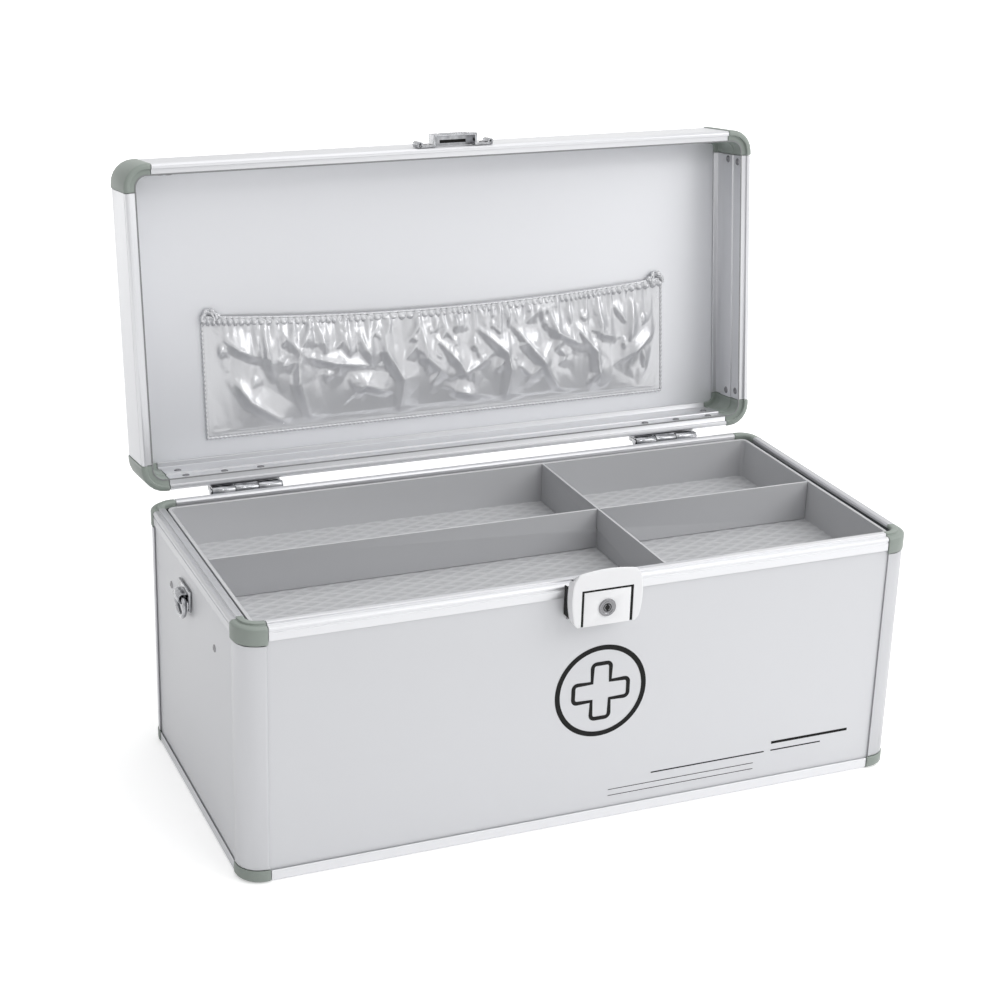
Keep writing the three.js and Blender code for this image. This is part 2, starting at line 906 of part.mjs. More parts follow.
function saddleGeometry(radius, height, plateX, plateY, thickness, loopWidth) {
  const inner = radius + wireClearance;
  const outer = inner + saddleThickness;
  const arch = [
    [-outer, thickness - height],
    ...arc(0, 0, outer, 180, 0, cornerSteps * 2),
    [outer, thickness - height],
    [inner, thickness - height],
    ...arc(0, 0, inner, 0, 180, cornerSteps * 2),
    [-inner, thickness - height],
  ];
  const sunk = arch.map(([y, z]) => [y, z === thickness - height ? z - thickness / 2 : z]);
  const loop = run(sunk.reverse(), [-loopWidth / 2, loopWidth / 2]);
  return join(block(plateX, plateY, [-height, thickness - height]), loop);
}

function ringGeometry() {
  const half = ringWidth / 2 - ringWire;
  const low = ringHeight - 2 * ringWire;
  const bend = 2 * ringWire;
  const bowl = arc(0, 0, 1, 0, -180, ringSteps).map(([x, y]) => [x * half, -bend + y * (low - bend)]);
  const bar = [
    ...arc(bend - half, -bend, bend, 180, 90, bendSteps),
    ...arc(half - bend, -bend, bend, 90, 0, bendSteps),
  ];
  return wire([...bar, ...bowl.slice(1, -1)].reverse(), ringWire, ringSides, true);
}

function addStraps() {
  const height = ringWire + wireClearance + strapPlateThickness;
  const out = height + seam;
  const plateX = [-strapPlateWidth / 2, strapPlateWidth / 2];
  const plateY = [-strapPlateHeight / 2, strapPlateHeight / 2];
  for (const [side, along] of [
    [sides[1], strapPlace],
    [sides[3], -strapPlace],
  ]) {
    const group = sideGroup(model, side, baseHeight - strapDrop);
    const upright = groupAt(group, along, boardInset - out, 0);
    upright.rotation.x = Math.PI / 2;
    const bracket = saddleGeometry(ringWire, height, plateX, plateY, strapPlateThickness, saddleWidth);
    add(upright, "strap_bracket_" + side.name, bracket, chromeFinish);
    add(upright, "strap_ring_" + side.name, ringGeometry(), chromeFinish);
  }
}

// Handle on the lid: a bent wire with a moulded grip, folded flat towards the hinges

const handleHeight = gripRadius + gripClearance;

function handleGeometry() {
  const arm = handleSpan / 2;
  const end = arm + handleBend + handlePlateLength + handleOverhang;
  const far = handleReach;
  const b = handleBend;
  const half = [
    [-end, 0],
    ...arc(-arm - b, b, b, -90, 0, bendSteps),
    ...arc(-arm + b, far - b, b, 180, 90, bendSteps),
  ];
  const flip = ([x, y]) => [-x, y];
  const bail = wire([...half, ...half.map(flip).reverse()], handleWire, handleSides);
  const tip = gripLength / 2;
  const shoulder = tip - gripShoulder;
  const profile = [
    [0, -tip],
    [handleWire + seam, -tip],
    [gripRadius, -shoulder],
    [gripRadius, shoulder],
    [handleWire + seam, tip],
    [0, tip],
  ].map(([x, y]) => new THREE.Vector2(x, y));
  const grip = new THREE.LatheGeometry(profile, roundSides).rotateZ(Math.PI / 2).translate(0, far, 0);
  return join(bail, grip);
}

function addHandle() {
  const height = handleHeight;
  const seat = groupAt(lid, 0, 0, lidSlotTop + height);
  const plateX = [-handlePlateLength / 2, handlePlateLength / 2];
  const plateY = [-handlePlateWidth / 2, handlePlateWidth / 2];
  const middleX = handleSpan / 2 + handleBend + handlePlateLength / 2;
  for (const [name, x] of Object.entries({ left: -middleX, right: middleX })) {
    const bracket = saddleGeometry(handleWire, height, plateX, plateY, saddleThickness, saddleWidth);
    add(groupAt(seat, x, 0, 0), "handle_bracket_" + name, bracket, chromeFinish);
  }
  add(seat, "handle", handleGeometry(), gripFinish);
}

// Pocket of gathered cloth on the lid board, closed flat

function pocketGeometry() {
  const back = lidSlotBottom;
  const halfWidth = caseLength / 2 - pocketSideInset;
  const bottom = caseDepth / 2 - pocketBackInset;
  const height = (s, t) => {
    const edge = Math.min(1 - Math.abs(s), t, 1 - t);
    if (edge <= 0) return pocketHem;
    if (t < casingShare) return casingThickness;
    const swell = Math.sin(Math.PI * Math.sqrt(t)) * Math.sqrt(1 - s ** 2);
    const folds = Math.cos(pocketFoldCount * Math.PI * (s + casingShare * t)) * (1 - t);
    const pleat = pleatShares.reduce((sum, at) => sum + Math.exp(-(((s - at) / pleatWidthShare) ** 2)), 0);
    return pocketHem + pocketPuff * swell + pocketFold * folds + pleatDepth * pleat * t ** 2;
  };
  const place = (i, j, lifted) => {
    const s = (2 * i) / pocketColumns - 1;
    const t = j / pocketRows;
    const y = bottom - pocketHeight * (1 - t) + pocketSag * (1 - s ** 2) * (1 - t);
    const z = lifted ? back - Math.max(height(s, t), pocketHem) : back;
    return new THREE.Vector3(s * halfWidth, y, z);
  };
  const rows = [...Array(pocketRows + 1).keys()];
  const rings = [...Array(pocketColumns + 1).keys()].map((i) => [
    ...rows.map((j) => place(i, j, true)),
    ...rows.map((j) => place(i, pocketRows - j, false)),
  ]);
  const last = 2 * pocketRows + 1;
  const cap = rows.slice(0, -1).flatMap((j) => [
    [j, j + 1, last - j],
    [j + 1, last - j - 1, last - j],
  ]);
  return loft(rings, cap);
}

// Tray

function addTray() {
  const halfX = caseLength / 2 - trayInset;
  const halfY = caseDepth / 2 - trayInset;
  const shell = raise(roundedRectangle(halfX, halfY, trayRound), [0, trayHeight]);
  const hollow = raise(
    roundedRectangle(halfX - trayWall, halfY - trayWall, trayRound - trayWall),
    [trayWall, trayHeight + overrun],
  );
  add(tray, "tray", cut(shell, hollow), trayFinish);

  const low = trayWall + seam;
  const half = (low + trayHeight) / 2;
  const thick = dividerThickness / 2;
  const notch = thick + seam;
  const endX = halfX - trayWall - seam;
  const endY = halfY - trayWall - seam;
  const longY = [longDividerPlace - thick, longDividerPlace + thick];
  const crossX = [crossDividerPlace - thick, crossDividerPlace + thick];
  const long = cut(
    block([-endX, endX], longY, [low, trayHeight]),
    block(
      [crossDividerPlace - notch, crossDividerPlace + notch],
      widened(longY, overrun),
      [half - seam, trayHeight + overrun],
    ),
  );
  const cross = cut(
    block(crossX, [-endY, endY], [low, trayHeight]),
    block(
      widened(crossX, overrun),
      [longDividerPlace - notch, longDividerPlace + notch],
      [low - overrun, half],
    ),
  );
  add(tray, "tray_divider_long", long, trayFinish);
  add(tray, "tray_divider_cross", cross, trayFinish);
}

// The whole case

addBoards();
addRails(model, "top_rail_", topRailOutline(0, topLipHeight), baseHeight);
addRails(model, "bottom_rail_", bottomRailOutline(0, bottomLipHeight), 0);
addCorners(model, "top_corner_", topRailOutline(cornerProud, topCornerHeight), baseHeight);
addCorners(model, "bottom_corner_", bottomRailOutline(cornerProud, bottomCornerHeight), 0);
addPosts();
addTrayLedges();
addHinges();
addLock();
addStraps();

addLidBoard();
addRails(lid, "lid_rail_", lidRailOutline(0), 0, [lidRailHollow()]);
addCorners(lid, "lid_corner_", lidRailOutline(cornerProud), 0);
add(sideGroup(lid, sides[0], 0), "keeper", keeperGeometry(), chromeFinish);
add(lid, "pocket", pocketGeometry(), clothFinish);
addHandle();

addTray();
tray.position.z = trayBottom;
model.add(tray);

// The lid turns about its hinge pins
const hingeLine = groupAt(model, 0, caseDepth / 2 + hingeOut, baseHeight + hingeRise);
hingeLine.rotation.x = -radians(openAngle);
lid.position.set(0, -caseDepth / 2 - hingeOut, lidRimHeight - baseHeight - hingeRise);
hingeLine.add(lid);

export default model;
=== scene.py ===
"""Looks of a medicine case: finishes, fine edges, cloth pocket, rivets, print, floor, lamps and camera."""

import itertools
import json
import math
import random

import bmesh
import bpy
from bpy.props import FloatProperty, FloatVectorProperty, IntProperty, PointerProperty
from mathutils import Matrix, Vector


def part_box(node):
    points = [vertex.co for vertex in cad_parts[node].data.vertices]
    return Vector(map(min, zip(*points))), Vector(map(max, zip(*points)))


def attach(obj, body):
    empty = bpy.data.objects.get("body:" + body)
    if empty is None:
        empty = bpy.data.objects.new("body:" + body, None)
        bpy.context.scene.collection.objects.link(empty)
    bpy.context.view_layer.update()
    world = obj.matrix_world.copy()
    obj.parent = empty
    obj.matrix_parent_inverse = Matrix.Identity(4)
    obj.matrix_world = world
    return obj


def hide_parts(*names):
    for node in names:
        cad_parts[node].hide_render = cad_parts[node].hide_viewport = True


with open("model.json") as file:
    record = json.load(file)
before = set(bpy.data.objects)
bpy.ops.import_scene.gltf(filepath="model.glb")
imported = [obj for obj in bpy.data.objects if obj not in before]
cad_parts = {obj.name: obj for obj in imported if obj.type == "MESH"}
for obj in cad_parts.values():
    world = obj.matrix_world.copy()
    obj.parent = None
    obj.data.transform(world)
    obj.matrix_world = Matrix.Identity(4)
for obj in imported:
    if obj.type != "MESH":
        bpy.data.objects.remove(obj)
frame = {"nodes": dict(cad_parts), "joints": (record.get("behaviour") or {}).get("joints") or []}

bl_info = {
    "name": "Medicine Case",
    "version": (1, 0, 0),
    "blender": (4, 5, 0),
    "location": "3D View > Sidebar > Case",
    "description": "Dresses an aluminium-framed medicine case with a lift-out tray and a lid pocket",
    "category": "Object",
}

MM = 0.001
LID_ANGLE = math.radians(97)
NODES = frame["nodes"]
PANEL_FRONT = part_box("front_panel")[0].y
PIVOTS = {joint["name"]: Vector(joint["pos_m"]) for joint in frame["joints"] if "pos_m" in joint}
HINGE = PIVOTS["lid_hinge"]
LID_GAP = 0.2 * MM
CASE_HALF_X = 180 * MM
CASE_HALF_Y = 85 * MM
POST_ROUND = 12 * MM
LIP_DEPTH = 0.9 * MM
CORNERS = ("front_right", "back_right", "back_left", "front_left")
SIDES = ("front", "right", "back", "left")
DRAWN_X = (0.04, 1, 1)
DRAWN_Y = (1, 0.04, 1)
DRAWN_Z = (1, 1, 0.04)
EVEN = (1, 1, 1)
ALONG_X = Vector((1, 0, 0))
ALONG_Y = Vector((0, 1, 0))
ALONG_Z = Vector((0, 0, 1))


# Settings


def colour(name, description, default):
    return FloatVectorProperty(
        name=name, description=description, default=default, subtype="COLOR", size=3, min=0, max=1
    )


def length(name, description, default, **limits):
    return FloatProperty(name=name, description=description, default=default, unit="LENGTH", **limits)


def share(name, description, default):
    return FloatProperty(name=name, description=description, default=default, subtype="FACTOR", min=0, max=1)


def tilt(name, description, degrees):
    return FloatProperty(name=name, description=description, default=math.radians(degrees), subtype="ANGLE")


def number(name, description, default, **limits):
    return FloatProperty(name=name, description=description, default=default, **limits)


def whole(name, description, default, lowest):
    return IntProperty(name=name, description=description, default=default, min=lowest)


class FinishSettings(bpy.types.PropertyGroup):
    board: colour("Board", "Silver laminate of the boards", (0.69, 0.697, 0.72))
    metal: colour("Rails", "Satin aluminium of the rails", (0.76, 0.765, 0.785))
    # Painted shade: the same aluminium as the rails, drawn darker for the side rails and tray ledges, whose
    # faces catch less light.
    side_rail_painted_shade: colour("Side rails", "Satin aluminium of the case's side rails", (0.58, 0.585, 0.605))
    lid_rail: colour("Lid rails", "Satin aluminium of the lid's rails", (0.69, 0.695, 0.715))
    post: colour("Posts", "Satin aluminium of the upright posts", (0.57, 0.575, 0.595))
    corner: colour("Corner", "Moulded corner pieces", (0.305, 0.345, 0.315))
    # Painted reflection: the plating is kept dark and blotched so that it shows darker surroundings than the
    # white around it.
    chrome: colour("Chrome", "Plated fittings", (0.36, 0.365, 0.38))
    # On the lock's base this dark steel also serves as painted shade between the lock and the case.
    steel: colour("Steel", "Dark steel of rivets and the lock's inside", (0.24, 0.24, 0.25))
    lock: colour("Lock", "White gloss plastic of the lock", (0.93, 0.933, 0.95))
    tray: colour("Tray", "Grey plastic of the tray", (0.49, 0.495, 0.51))
    # Painted highlight: lighter colour on the embossed ridges and the walls' top edges, where they catch the
    # light.
    tray_highlight: colour("Tray highlight", "Plastic on the tray's ridges and its walls' tops", (0.62, 0.625, 0.64))
    cloth: colour("Cloth", "Silver coated cloth of the pocket", (0.65, 0.655, 0.675))
    grip: colour("Grip", "Dark plastic of the handle", (0.035, 0.035, 0.038))
    # Painted shade: a dark line in the lid's recess that stands for the shade in its groove.
    lid_groove_shade: colour("Seal", "Grey rubber in the lid's recess", (0.3, 0.305, 0.31))
    # A dark band round the tray on the rails' inner faces; its top comes lower towards the back.
    tray_band: colour("Felt", "Dark felt round the tray", (0.09, 0.095, 0.1))
    # Also used, as near black, for the painted shade in the lock's gaps, the keeper's slot and the keyhole.
    ink: colour("Ink", "Print on the front board", (0.006, 0.006, 0.006))
    edge: length("Edge", "Rounding of the outer edges", 0.35 * MM, min=0)
    board_edge: length("Board edge", "Rounding of the boards' edges", 0.2 * MM, min=0)
    # Painted light: the lid's board is drawn lighter than the case's boards, for the light that falls on it
    # from above and in front.
    lid_painted_light_gain: number("Lid gain", "How much lighter the lid's board is than the case's", 1.22, min=0)


class CameraSettings(bpy.types.PropertyGroup):
    yaw: tilt("Yaw", "Turn round the case", -23.6)
    rise: tilt("Rise", "Angle above the floor", 21.21)
    roll: tilt("Roll", "Tilt of the frame", 1.8)
    distance: length("Distance", "Along the view from the case's middle", 1129.1 * MM)
    across: length("Across", "Offset to the right", -10.42 * MM)
    up: length("Up", "Offset upwards", 134.29 * MM)
    lens: number("Lens", "Focal length in millimetres", 74.98)
    sensor: number("Sensor", "Sensor width in millimetres", 36)


class StageSettings(bpy.types.PropertyGroup):
    floor: length("Floor", "Side of the floor", 14)
    floor_white: share("Floor white", "Colour of the floor", 0.9)
    floor_rough: share("Floor roughness", "Roughness of the floor", 0.7)
    floor_glow: share("Floor glow", "White that the camera sees on the floor beside its light", 0.45)
    glow_near: length("Glow from", "Distance from the middle where the floor starts to turn white", 0.5)
    glow_far: length("Glow to", "Distance from the middle where the floor is white", 2.5)
    zenith: number("Zenith", "Even light from above", 0.9, min=0)
    horizon: number("Horizon", "Even light from the sides", 0.3, min=0)
    slant: share("Slant", "How much the even light grows to the right and falls to the left", 0.7)
    key: number("Key", "Power of the key lamp in watts", 13, min=0)
    top: number("Top", "Power of the top lamp in watts", 6, min=0)
    spark: number("Spark", "Power in watts of the small lamp that lights folds and edges", 2.5, min=0)


class RivetSettings(bpy.types.PropertyGroup):
    radius: length("Radius", "Radius of a rivet's head", 2.0 * MM)
    height: length("Height", "Height of a rivet's head", 0.55 * MM)
    hole: length("Hole", "Radius of the hole in a rivet's head", 0.85 * MM)
    sides: whole("Sides", "Sides of a rivet's head", 16, 6)


class PrintSettings(bpy.types.PropertyGroup):
    ring: length("Ring", "Outer radius of the printed ring", 25 * MM)
    line: length("Line", "Width of the printed outlines", 2.7 * MM)
    plus: length("Plus", "Reach of the plus sign from its middle", 15 * MM)
    plus_half: length("Plus arm", "Half the width of the plus sign's arms", 5 * MM)
    rounding: length("Rounding", "Rounding of the arms' corners", 2.2 * MM)
    middle_x: length("Across", "Middle of the print along the case", 5 * MM)
    middle_z: length("Up", "Middle of the print above the floor", 73 * MM)
    lift: length("Lift", "Height of the ink above the board", 0.06 * MM)


class PocketSettings(bpy.types.PropertyGroup):
    fullness: number("Fullness", "Cloth width over pocket width", 1.22, min=1)
    slack: number("Slack", "Cloth height over pocket height", 1.06, min=1)
    columns: whole("Columns", "Cloth cells across", 342, 20)
    rows: whole("Rows", "Cloth cells down", 80, 8)
    gathers: whole("Gathers", "Small gathers along the elastic", 62, 4)
    creases: whole("Creases", "Short creases between the main folds", 90, 0)
    frames: whole("Frames", "Steps of the cloth simulation", 10, 1)


SETTINGS = {
    "case_finish": FinishSettings,
    "case_camera": CameraSettings,
    "case_stage": StageSettings,
    "case_rivets": RivetSettings,
    "case_print": PrintSettings,
    "case_pocket": PocketSettings,
}


# Places


def lid_point(x, y, w):
    """A point of the open lid: x and y as on the closed case, and w up from its rim."""
    across, up = y - HINGE.y, w + LID_GAP
    sine, cosine = math.sin(LID_ANGLE), math.cos(LID_ANGLE)
    return Vector((x, HINGE.y + across * cosine + up * sine, HINGE.z - across * sine + up * cosine))


def lid_matrix():
    """Takes the closed lid's own frame (x, y, w) to the open lid."""
    origin = lid_point(0, 0, 0)
    along = lid_point(0, 1, 0) - origin
    away = lid_point(0, 0, 1) - origin
    return Matrix((
        (1, along.x, away.x, origin.x),
        (0, along.y, away.y, origin.y),
        (0, along.z, away.z, origin.z),
        (0, 0, 0, 1),
    ))


def clamped(value):
    """The value, kept between 0 and 1."""
    return max(0.0, min(1.0, value))


def ramp(value, start, end):
    """Rises smoothly from 0 at the start to 1 at the end."""
    part = clamped((value - start) / (end - start))
    return part * part * (3 - 2 * part)


# Meshes


WELD_REACH = 0.002 * MM
CUT_REACH = 0.001 * MM
NEARLY_ALONG = 0.01
FLAT_ANGLE = math.radians(0.5)
SHARP_ANGLE = math.radians(32)


def new_object(name, data):
    """An object in the scene that carries the data."""
    made = bpy.data.objects.new(name, data)
    bpy.context.scene.collection.objects.link(made)
    return made


def add_piece(name, mesh, body, material, smooth=True):
    """A piece that rides a body, with one material in a slot."""
    piece = new_object(name, mesh)
    if smooth:
        for polygon in mesh.polygons:
            polygon.use_smooth = True
    mesh.materials.append(material)
    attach(piece, body)
    return piece


def mesh_from(name, points, faces):
    mesh = bpy.data.meshes.new(name)
    mesh.from_pydata([tuple(p) for p in points], [], faces)
    mesh.update()
    return mesh


def ring_faces(rings, sides):
    """Faces between rings of points that follow each other."""
    faces = []
    for ring in range(rings - 1):
        for turn in range(sides):
            a = ring * sides + turn
            b = ring * sides + (turn + 1) % sides
            faces.append((a, b, b + sides, a + sides))
    return faces


def circle_path(radius, count=96):
    """Points round a circle."""
    turns = [2 * math.pi * index / count for index in range(count)]
    return [Vector((radius * math.cos(turn), radius * math.sin(turn))) for turn in turns]


def turned(profile, place, axes, sides, filled=False, looped=False):
    """Points and faces of a turned form. The profile gives radii, and heights along the last axis.

    The last ring is filled with a face, or looped back to the first, if that is asked for.
    """
    side, across, out = axes
    points = [
        place + side * spoke.x + across * spoke.y + out * height
        for radius, height in profile for spoke in circle_path(radius, sides)
    ]
    count = len(points)
    faces = [tuple(corner % count for corner in face) for face in ring_faces(len(profile) + looped, sides)]
    if filled:
        faces.append(tuple(range(count - sides, count)))
    return points, faces


def tube(points, radii, sides=8):
    """Points and faces of a round tube along a path, closed at both ends."""
    rings = []
    last = len(points) - 1
    for index, place in enumerate(points):
        before, after = points[max(0, index - 1)], points[min(last, index + 1)]
        along = (after - before).normalized()
        side = along.cross(ALONG_Z)
        if side.length < NEARLY_ALONG:
            side = along.cross(ALONG_Y)
        side.normalize()
        up = side.cross(along)
        for turn in range(sides):
            angle = 2 * math.pi * turn / sides
            rings.append(place + radii[index] * (math.cos(angle) * side + math.sin(angle) * up))
    faces = ring_faces(len(points), sides)
    faces.append(tuple(reversed(range(sides))))
    faces.append(tuple(range(last * sides, (last + 1) * sides)))
    return rings, faces


def joined(shapes):
    """Points and faces of several shapes as one."""
    points, faces = [], []
    for shape_points, shape_faces in shapes:
        faces += [tuple(len(points) + corner for corner in face) for face in shape_faces]
        points += shape_points
    return points, faces


def refine(node, width):
    """Rounds a frame piece's sharp edges with modifiers, and leaves its own mesh as it is."""
    piece = NODES[node]
    for polygon in piece.data.polygons:
        polygon.use_smooth = True
    weld = piece.modifiers.new("weld", "WELD")
    weld.merge_threshold = WELD_REACH
    flat = piece.modifiers.new("flat", "DECIMATE")
    flat.decimate_type = "DISSOLVE"
    flat.angle_limit = FLAT_ANGLE
    round_edges(piece, width)


def round_edges(piece, width, segments=2):
    bevel = piece.modifiers.new("edges", "BEVEL")
    bevel.width = width
    bevel.segments = segments
    bevel.limit_method = "ANGLE"
    bevel.angle_limit = SHARP_ANGLE
    bevel.harden_normals = True
    bevel.miter_outer = "MITER_ARC"


def paint(nodes, material, width):
    for node in nodes:
        NODES[node].data.materials.clear()
        NODES[node].data.materials.append(material)
        refine(node, width)


def cut_copy(node, planes):
    """A copy of a frame piece's mesh, cut along planes so that it can be shaped."""
    bm = bmesh.new()
    bm.from_mesh(NODES[node].data)
    bmesh.ops.remove_doubles(bm, verts=bm.verts, dist=WELD_REACH)
    bmesh.ops.dissolve_limit(bm, angle_limit=FLAT_ANGLE, verts=bm.verts, edges=bm.edges)
    for place, normal in planes:
        everything = [*bm.verts, *bm.edges, *bm.faces]
        bmesh.ops.bisect_plane(bm, geom=everything, plane_co=place, plane_no=normal, dist=CUT_REACH)
    return bm


def shaped_piece(name, node, bm, body, material, width, segments=2):
    """Shows a shaped copy in the place of its frame piece."""
    mesh = bpy.data.meshes.new(name)
    bm.to_mesh(mesh)
    bm.free()
    piece = add_piece(name, mesh, body, material)
    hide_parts(node)
    round_edges(piece, width, segments)


def starting(prefix):
    """Names of the frame's pieces that start alike."""
    return sorted(node for node in NODES if node.startswith(prefix))


# Shader node groups


def node_group(name, inputs, outputs):
    group = bpy.data.node_groups.new(name, "ShaderNodeTree")
    for label, kind, default in inputs:
        socket = group.interface.new_socket(label, in_out="INPUT", socket_type="NodeSocket" + kind)
        socket.default_value = default
    for label, kind in outputs:
        group.interface.new_socket(label, in_out="OUTPUT", socket_type="NodeSocket" + kind)
    return group, group.nodes.new("NodeGroupInput").outputs, group.nodes.new("NodeGroupOutput")


def feed(tree, node, values):
    """Links the named inputs of a node to sockets, or sets them to values."""
    for label, value in values.items():
        if isinstance(value, bpy.types.NodeSocket):
            tree.links.new(value, node.inputs[label])
        else:
            node.inputs[label].default_value = value
    return node


def new_node(tree, kind, values, **choices):
    """A shader node with its choices made and its inputs fed."""
    node = tree.nodes.new("ShaderNode" + kind)
    for name, choice in choices.items():
        setattr(node, name, choice)
    return feed(tree, node, values)


def math_node(tree, operation, *values):
    return new_node(tree, "Math", dict(enumerate(values)), operation=operation).outputs[0]


def object_place(tree):
    return new_node(tree, "TexCoord", {}).outputs["Object"]


def fade_node(tree, value, ends, levels):
    """Runs between two levels while a value runs between two ends."""
    labels = ("Value", "From Min", "From Max", "To Min", "To Max")
    return new_node(tree, "MapRange", dict(zip(labels, (value, *ends, *levels)))).outputs["Result"]


def centred_noise(tree, **values):
    """A noise over the object, from about -0.5 to 0.5."""
    noise = new_node(tree, "TexNoise", {"Vector": object_place(tree), **values})
    return math_node(tree, "SUBTRACT", noise.outputs["Fac"], 0.5)


def grain_group():
    """Fine streaks or speckle of a finish, from a noise stretched along the case's axes."""
    group, given, made = node_group(
        "Grain",
        [("Scale", "Float", 400.0), ("Stretch", "Vector", (1.0, 1.0, 1.0)), ("Detail", "Float", 3.0)],
        [("Height", "Float")],
    )
    spots = {0: object_place(group), 1: given["Stretch"]}
    stretched = new_node(group, "VectorMath", spots, operation="MULTIPLY").outputs[0]
    values = {"Vector": stretched, "Scale": given["Scale"], "Detail": given["Detail"]}
    feed(group, made, {"Height": new_node(group, "TexNoise", values).outputs["Fac"]})
    return group


def handling_and_reflection_group():
    """Roughness and tint that change slowly over a surface, as handling and dust leave them; strong and
    fine, as on the chrome, the tint is painted reflection.
    """
    group, given, made = node_group(
        "Handling and Reflection",
        [
            ("Scale", "Float", 14.0),
            ("Roughness", "Float", 0.4),
            ("Spread", "Float", 0.08),
            ("Colour", "Color", (0.7, 0.7, 0.7, 1)),
            ("Shade", "Float", 0.04),
        ],
        [("Roughness", "Float"), ("Colour", "Color")],
    )
    noise = centred_noise(group, Scale=given["Scale"], Detail=5)
    rough = math_node(group, "ADD", given["Roughness"], math_node(group, "MULTIPLY", noise, given["Spread"]))
    gain = math_node(group, "ADD", math_node(group, "MULTIPLY", noise, given["Shade"]), 1.0)
    tint = new_node(group, "VectorMath", {0: given["Colour"], "Scale": gain}, operation="SCALE")
    feed(group, made, {"Roughness": rough, "Colour": tint.outputs[0]})
    return group


def placed_group(tree, name, build, **values):
    """Places a shared node group, which is built once, with values of its own."""
    return new_node(tree, "Group", values, node_tree=bpy.data.node_groups.get(name) or build())


EMBOSS_PITCH = 13 * MM
EMBOSS_SLOPE = 1.9
EMBOSS_SHARPNESS = 4.0
EMBOSS_DEPTH = 0.35 * MM
EMBOSS_STRENGTH = 0.8
# Share of the painted highlight on the embossed ridges
EMBOSS_HIGHLIGHT_SHARE = 0.6
EMBOSS_BEND = 1.4 * MM
BEND_SCALE = 60
TRAY_FLOOR = 111.2 * MM
TRAY_RIM = 132.85 * MM


def emboss_group():
    """Diamond embossing of the tray's floor, and a mask of the edges on top of its walls."""
    group, given, made = node_group(
        "Tray Relief",
        [("Pitch", "Float", EMBOSS_PITCH), ("Floor", "Float", TRAY_FLOOR), ("Rim", "Float", TRAY_RIM)],
        [("Relief", "Float"), ("Edge", "Float")],
    )
    x, y, z = new_node(group, "SeparateXYZ", {0: object_place(group)}).outputs
    bend = math_node(group, "MULTIPLY", centred_noise(group, Scale=BEND_SCALE), EMBOSS_BEND)
    ridges = []
    for slope in (EMBOSS_SLOPE, -EMBOSS_SLOPE):
        across = math_node(group, "ADD", x, math_node(group, "MULTIPLY", y, slope))
        across = math_node(group, "ADD", across, bend)
        turns = math_node(group, "DIVIDE", across, given["Pitch"])
        wave = math_node(group, "SINE", math_node(group, "MULTIPLY", turns, math.pi))
        ridges.append(math_node(group, "POWER", math_node(group, "ABSOLUTE", wave), EMBOSS_SHARPNESS))
    low = math_node(group, "LESS_THAN", z, given["Floor"])
    relief = math_node(group, "MULTIPLY", math_node(group, "MAXIMUM", *ridges), low)
    feed(group, made, {"Relief": relief, "Edge": math_node(group, "GREATER_THAN", z, given["Rim"])})
    return group


# Materials


def shader_of(material):
    return material.node_tree.nodes["Principled BSDF"]


def finish_material(name, base, rough, grain, depth, stretch=EVEN, detail=3.0,
                    metal=0.0, spread=0.08, shade=0.04, scale=14.0):
    """A surface with slow handling marks, and on chrome a painted reflection, bumped by a fine grain."""
    material = bpy.data.materials.new(name)
    material.use_nodes = True
    tree = material.node_tree
    marks_and_reflection = placed_group(
        tree, "Handling and Reflection", handling_and_reflection_group,
        Scale=scale, Roughness=rough, Spread=spread, Colour=(*base, 1), Shade=shade,
    ).outputs
    fine = placed_group(tree, "Grain", grain_group, Scale=grain, Stretch=stretch, Detail=detail)
    bump = new_node(tree, "Bump", {"Distance": depth, "Height": fine.outputs["Height"]})
    feed(tree, shader_of(material), {
        "Metallic": metal,
        "Roughness": marks_and_reflection["Roughness"],
        "Base Color": marks_and_reflection["Colour"],
        "Normal": bump.outputs["Normal"],
    })
    return material


def board_material(name, gain=1.0):
    """Silver laminate with a faint grain that runs along the board."""
    base = tuple(gain * part for part in bpy.context.scene.case_finish.board)
    return finish_material(
        name, base, rough=0.44, metal=0.25, shade=0.03, scale=9,
        grain=260, depth=0.02 * MM, stretch=(0.25, 0.25, 1.0),
    )


def metal_material(name, base, stretch):
    """Satin aluminium with fine draw lines along one axis."""
    return finish_material(
        name, base, rough=0.34, metal=0.55, shade=0.03,
        grain=900, depth=0.01 * MM, stretch=stretch,
    )


def corner_material():
    base = bpy.context.scene.case_finish.corner
    return finish_material(
        "corner_plastic", base, rough=0.46, shade=0.06, scale=40, grain=1400, depth=0.02 * MM
    )


def chrome_material(name, rough):
    # Dark plating blotched by a strong, fine tint noise: painted reflections of darker surroundings.
    base = bpy.context.scene.case_finish.chrome
    return finish_material(
        name, base, rough, metal=1.0, spread=0.12, shade=1.5, scale=300, grain=700, depth=0.008 * MM
    )


def steel_material(name, rough=0.35):
    base = bpy.context.scene.case_finish.steel
    return finish_material(
        name, base, rough, metal=1.0, spread=0.1, shade=0.2, scale=120, grain=900, depth=0.01 * MM
    )


def lock_material():
    """White gloss plastic under a thin clear coat."""
    base = bpy.context.scene.case_finish.lock
    material = finish_material(
        "white_gloss", base, rough=0.22, spread=0.06, shade=0.015, grain=500, depth=0.006 * MM
    )
    shader = shader_of(material)
    shader.inputs["Coat Weight"].default_value = 0.3
    shader.inputs["Coat Roughness"].default_value = 0.08
    return material


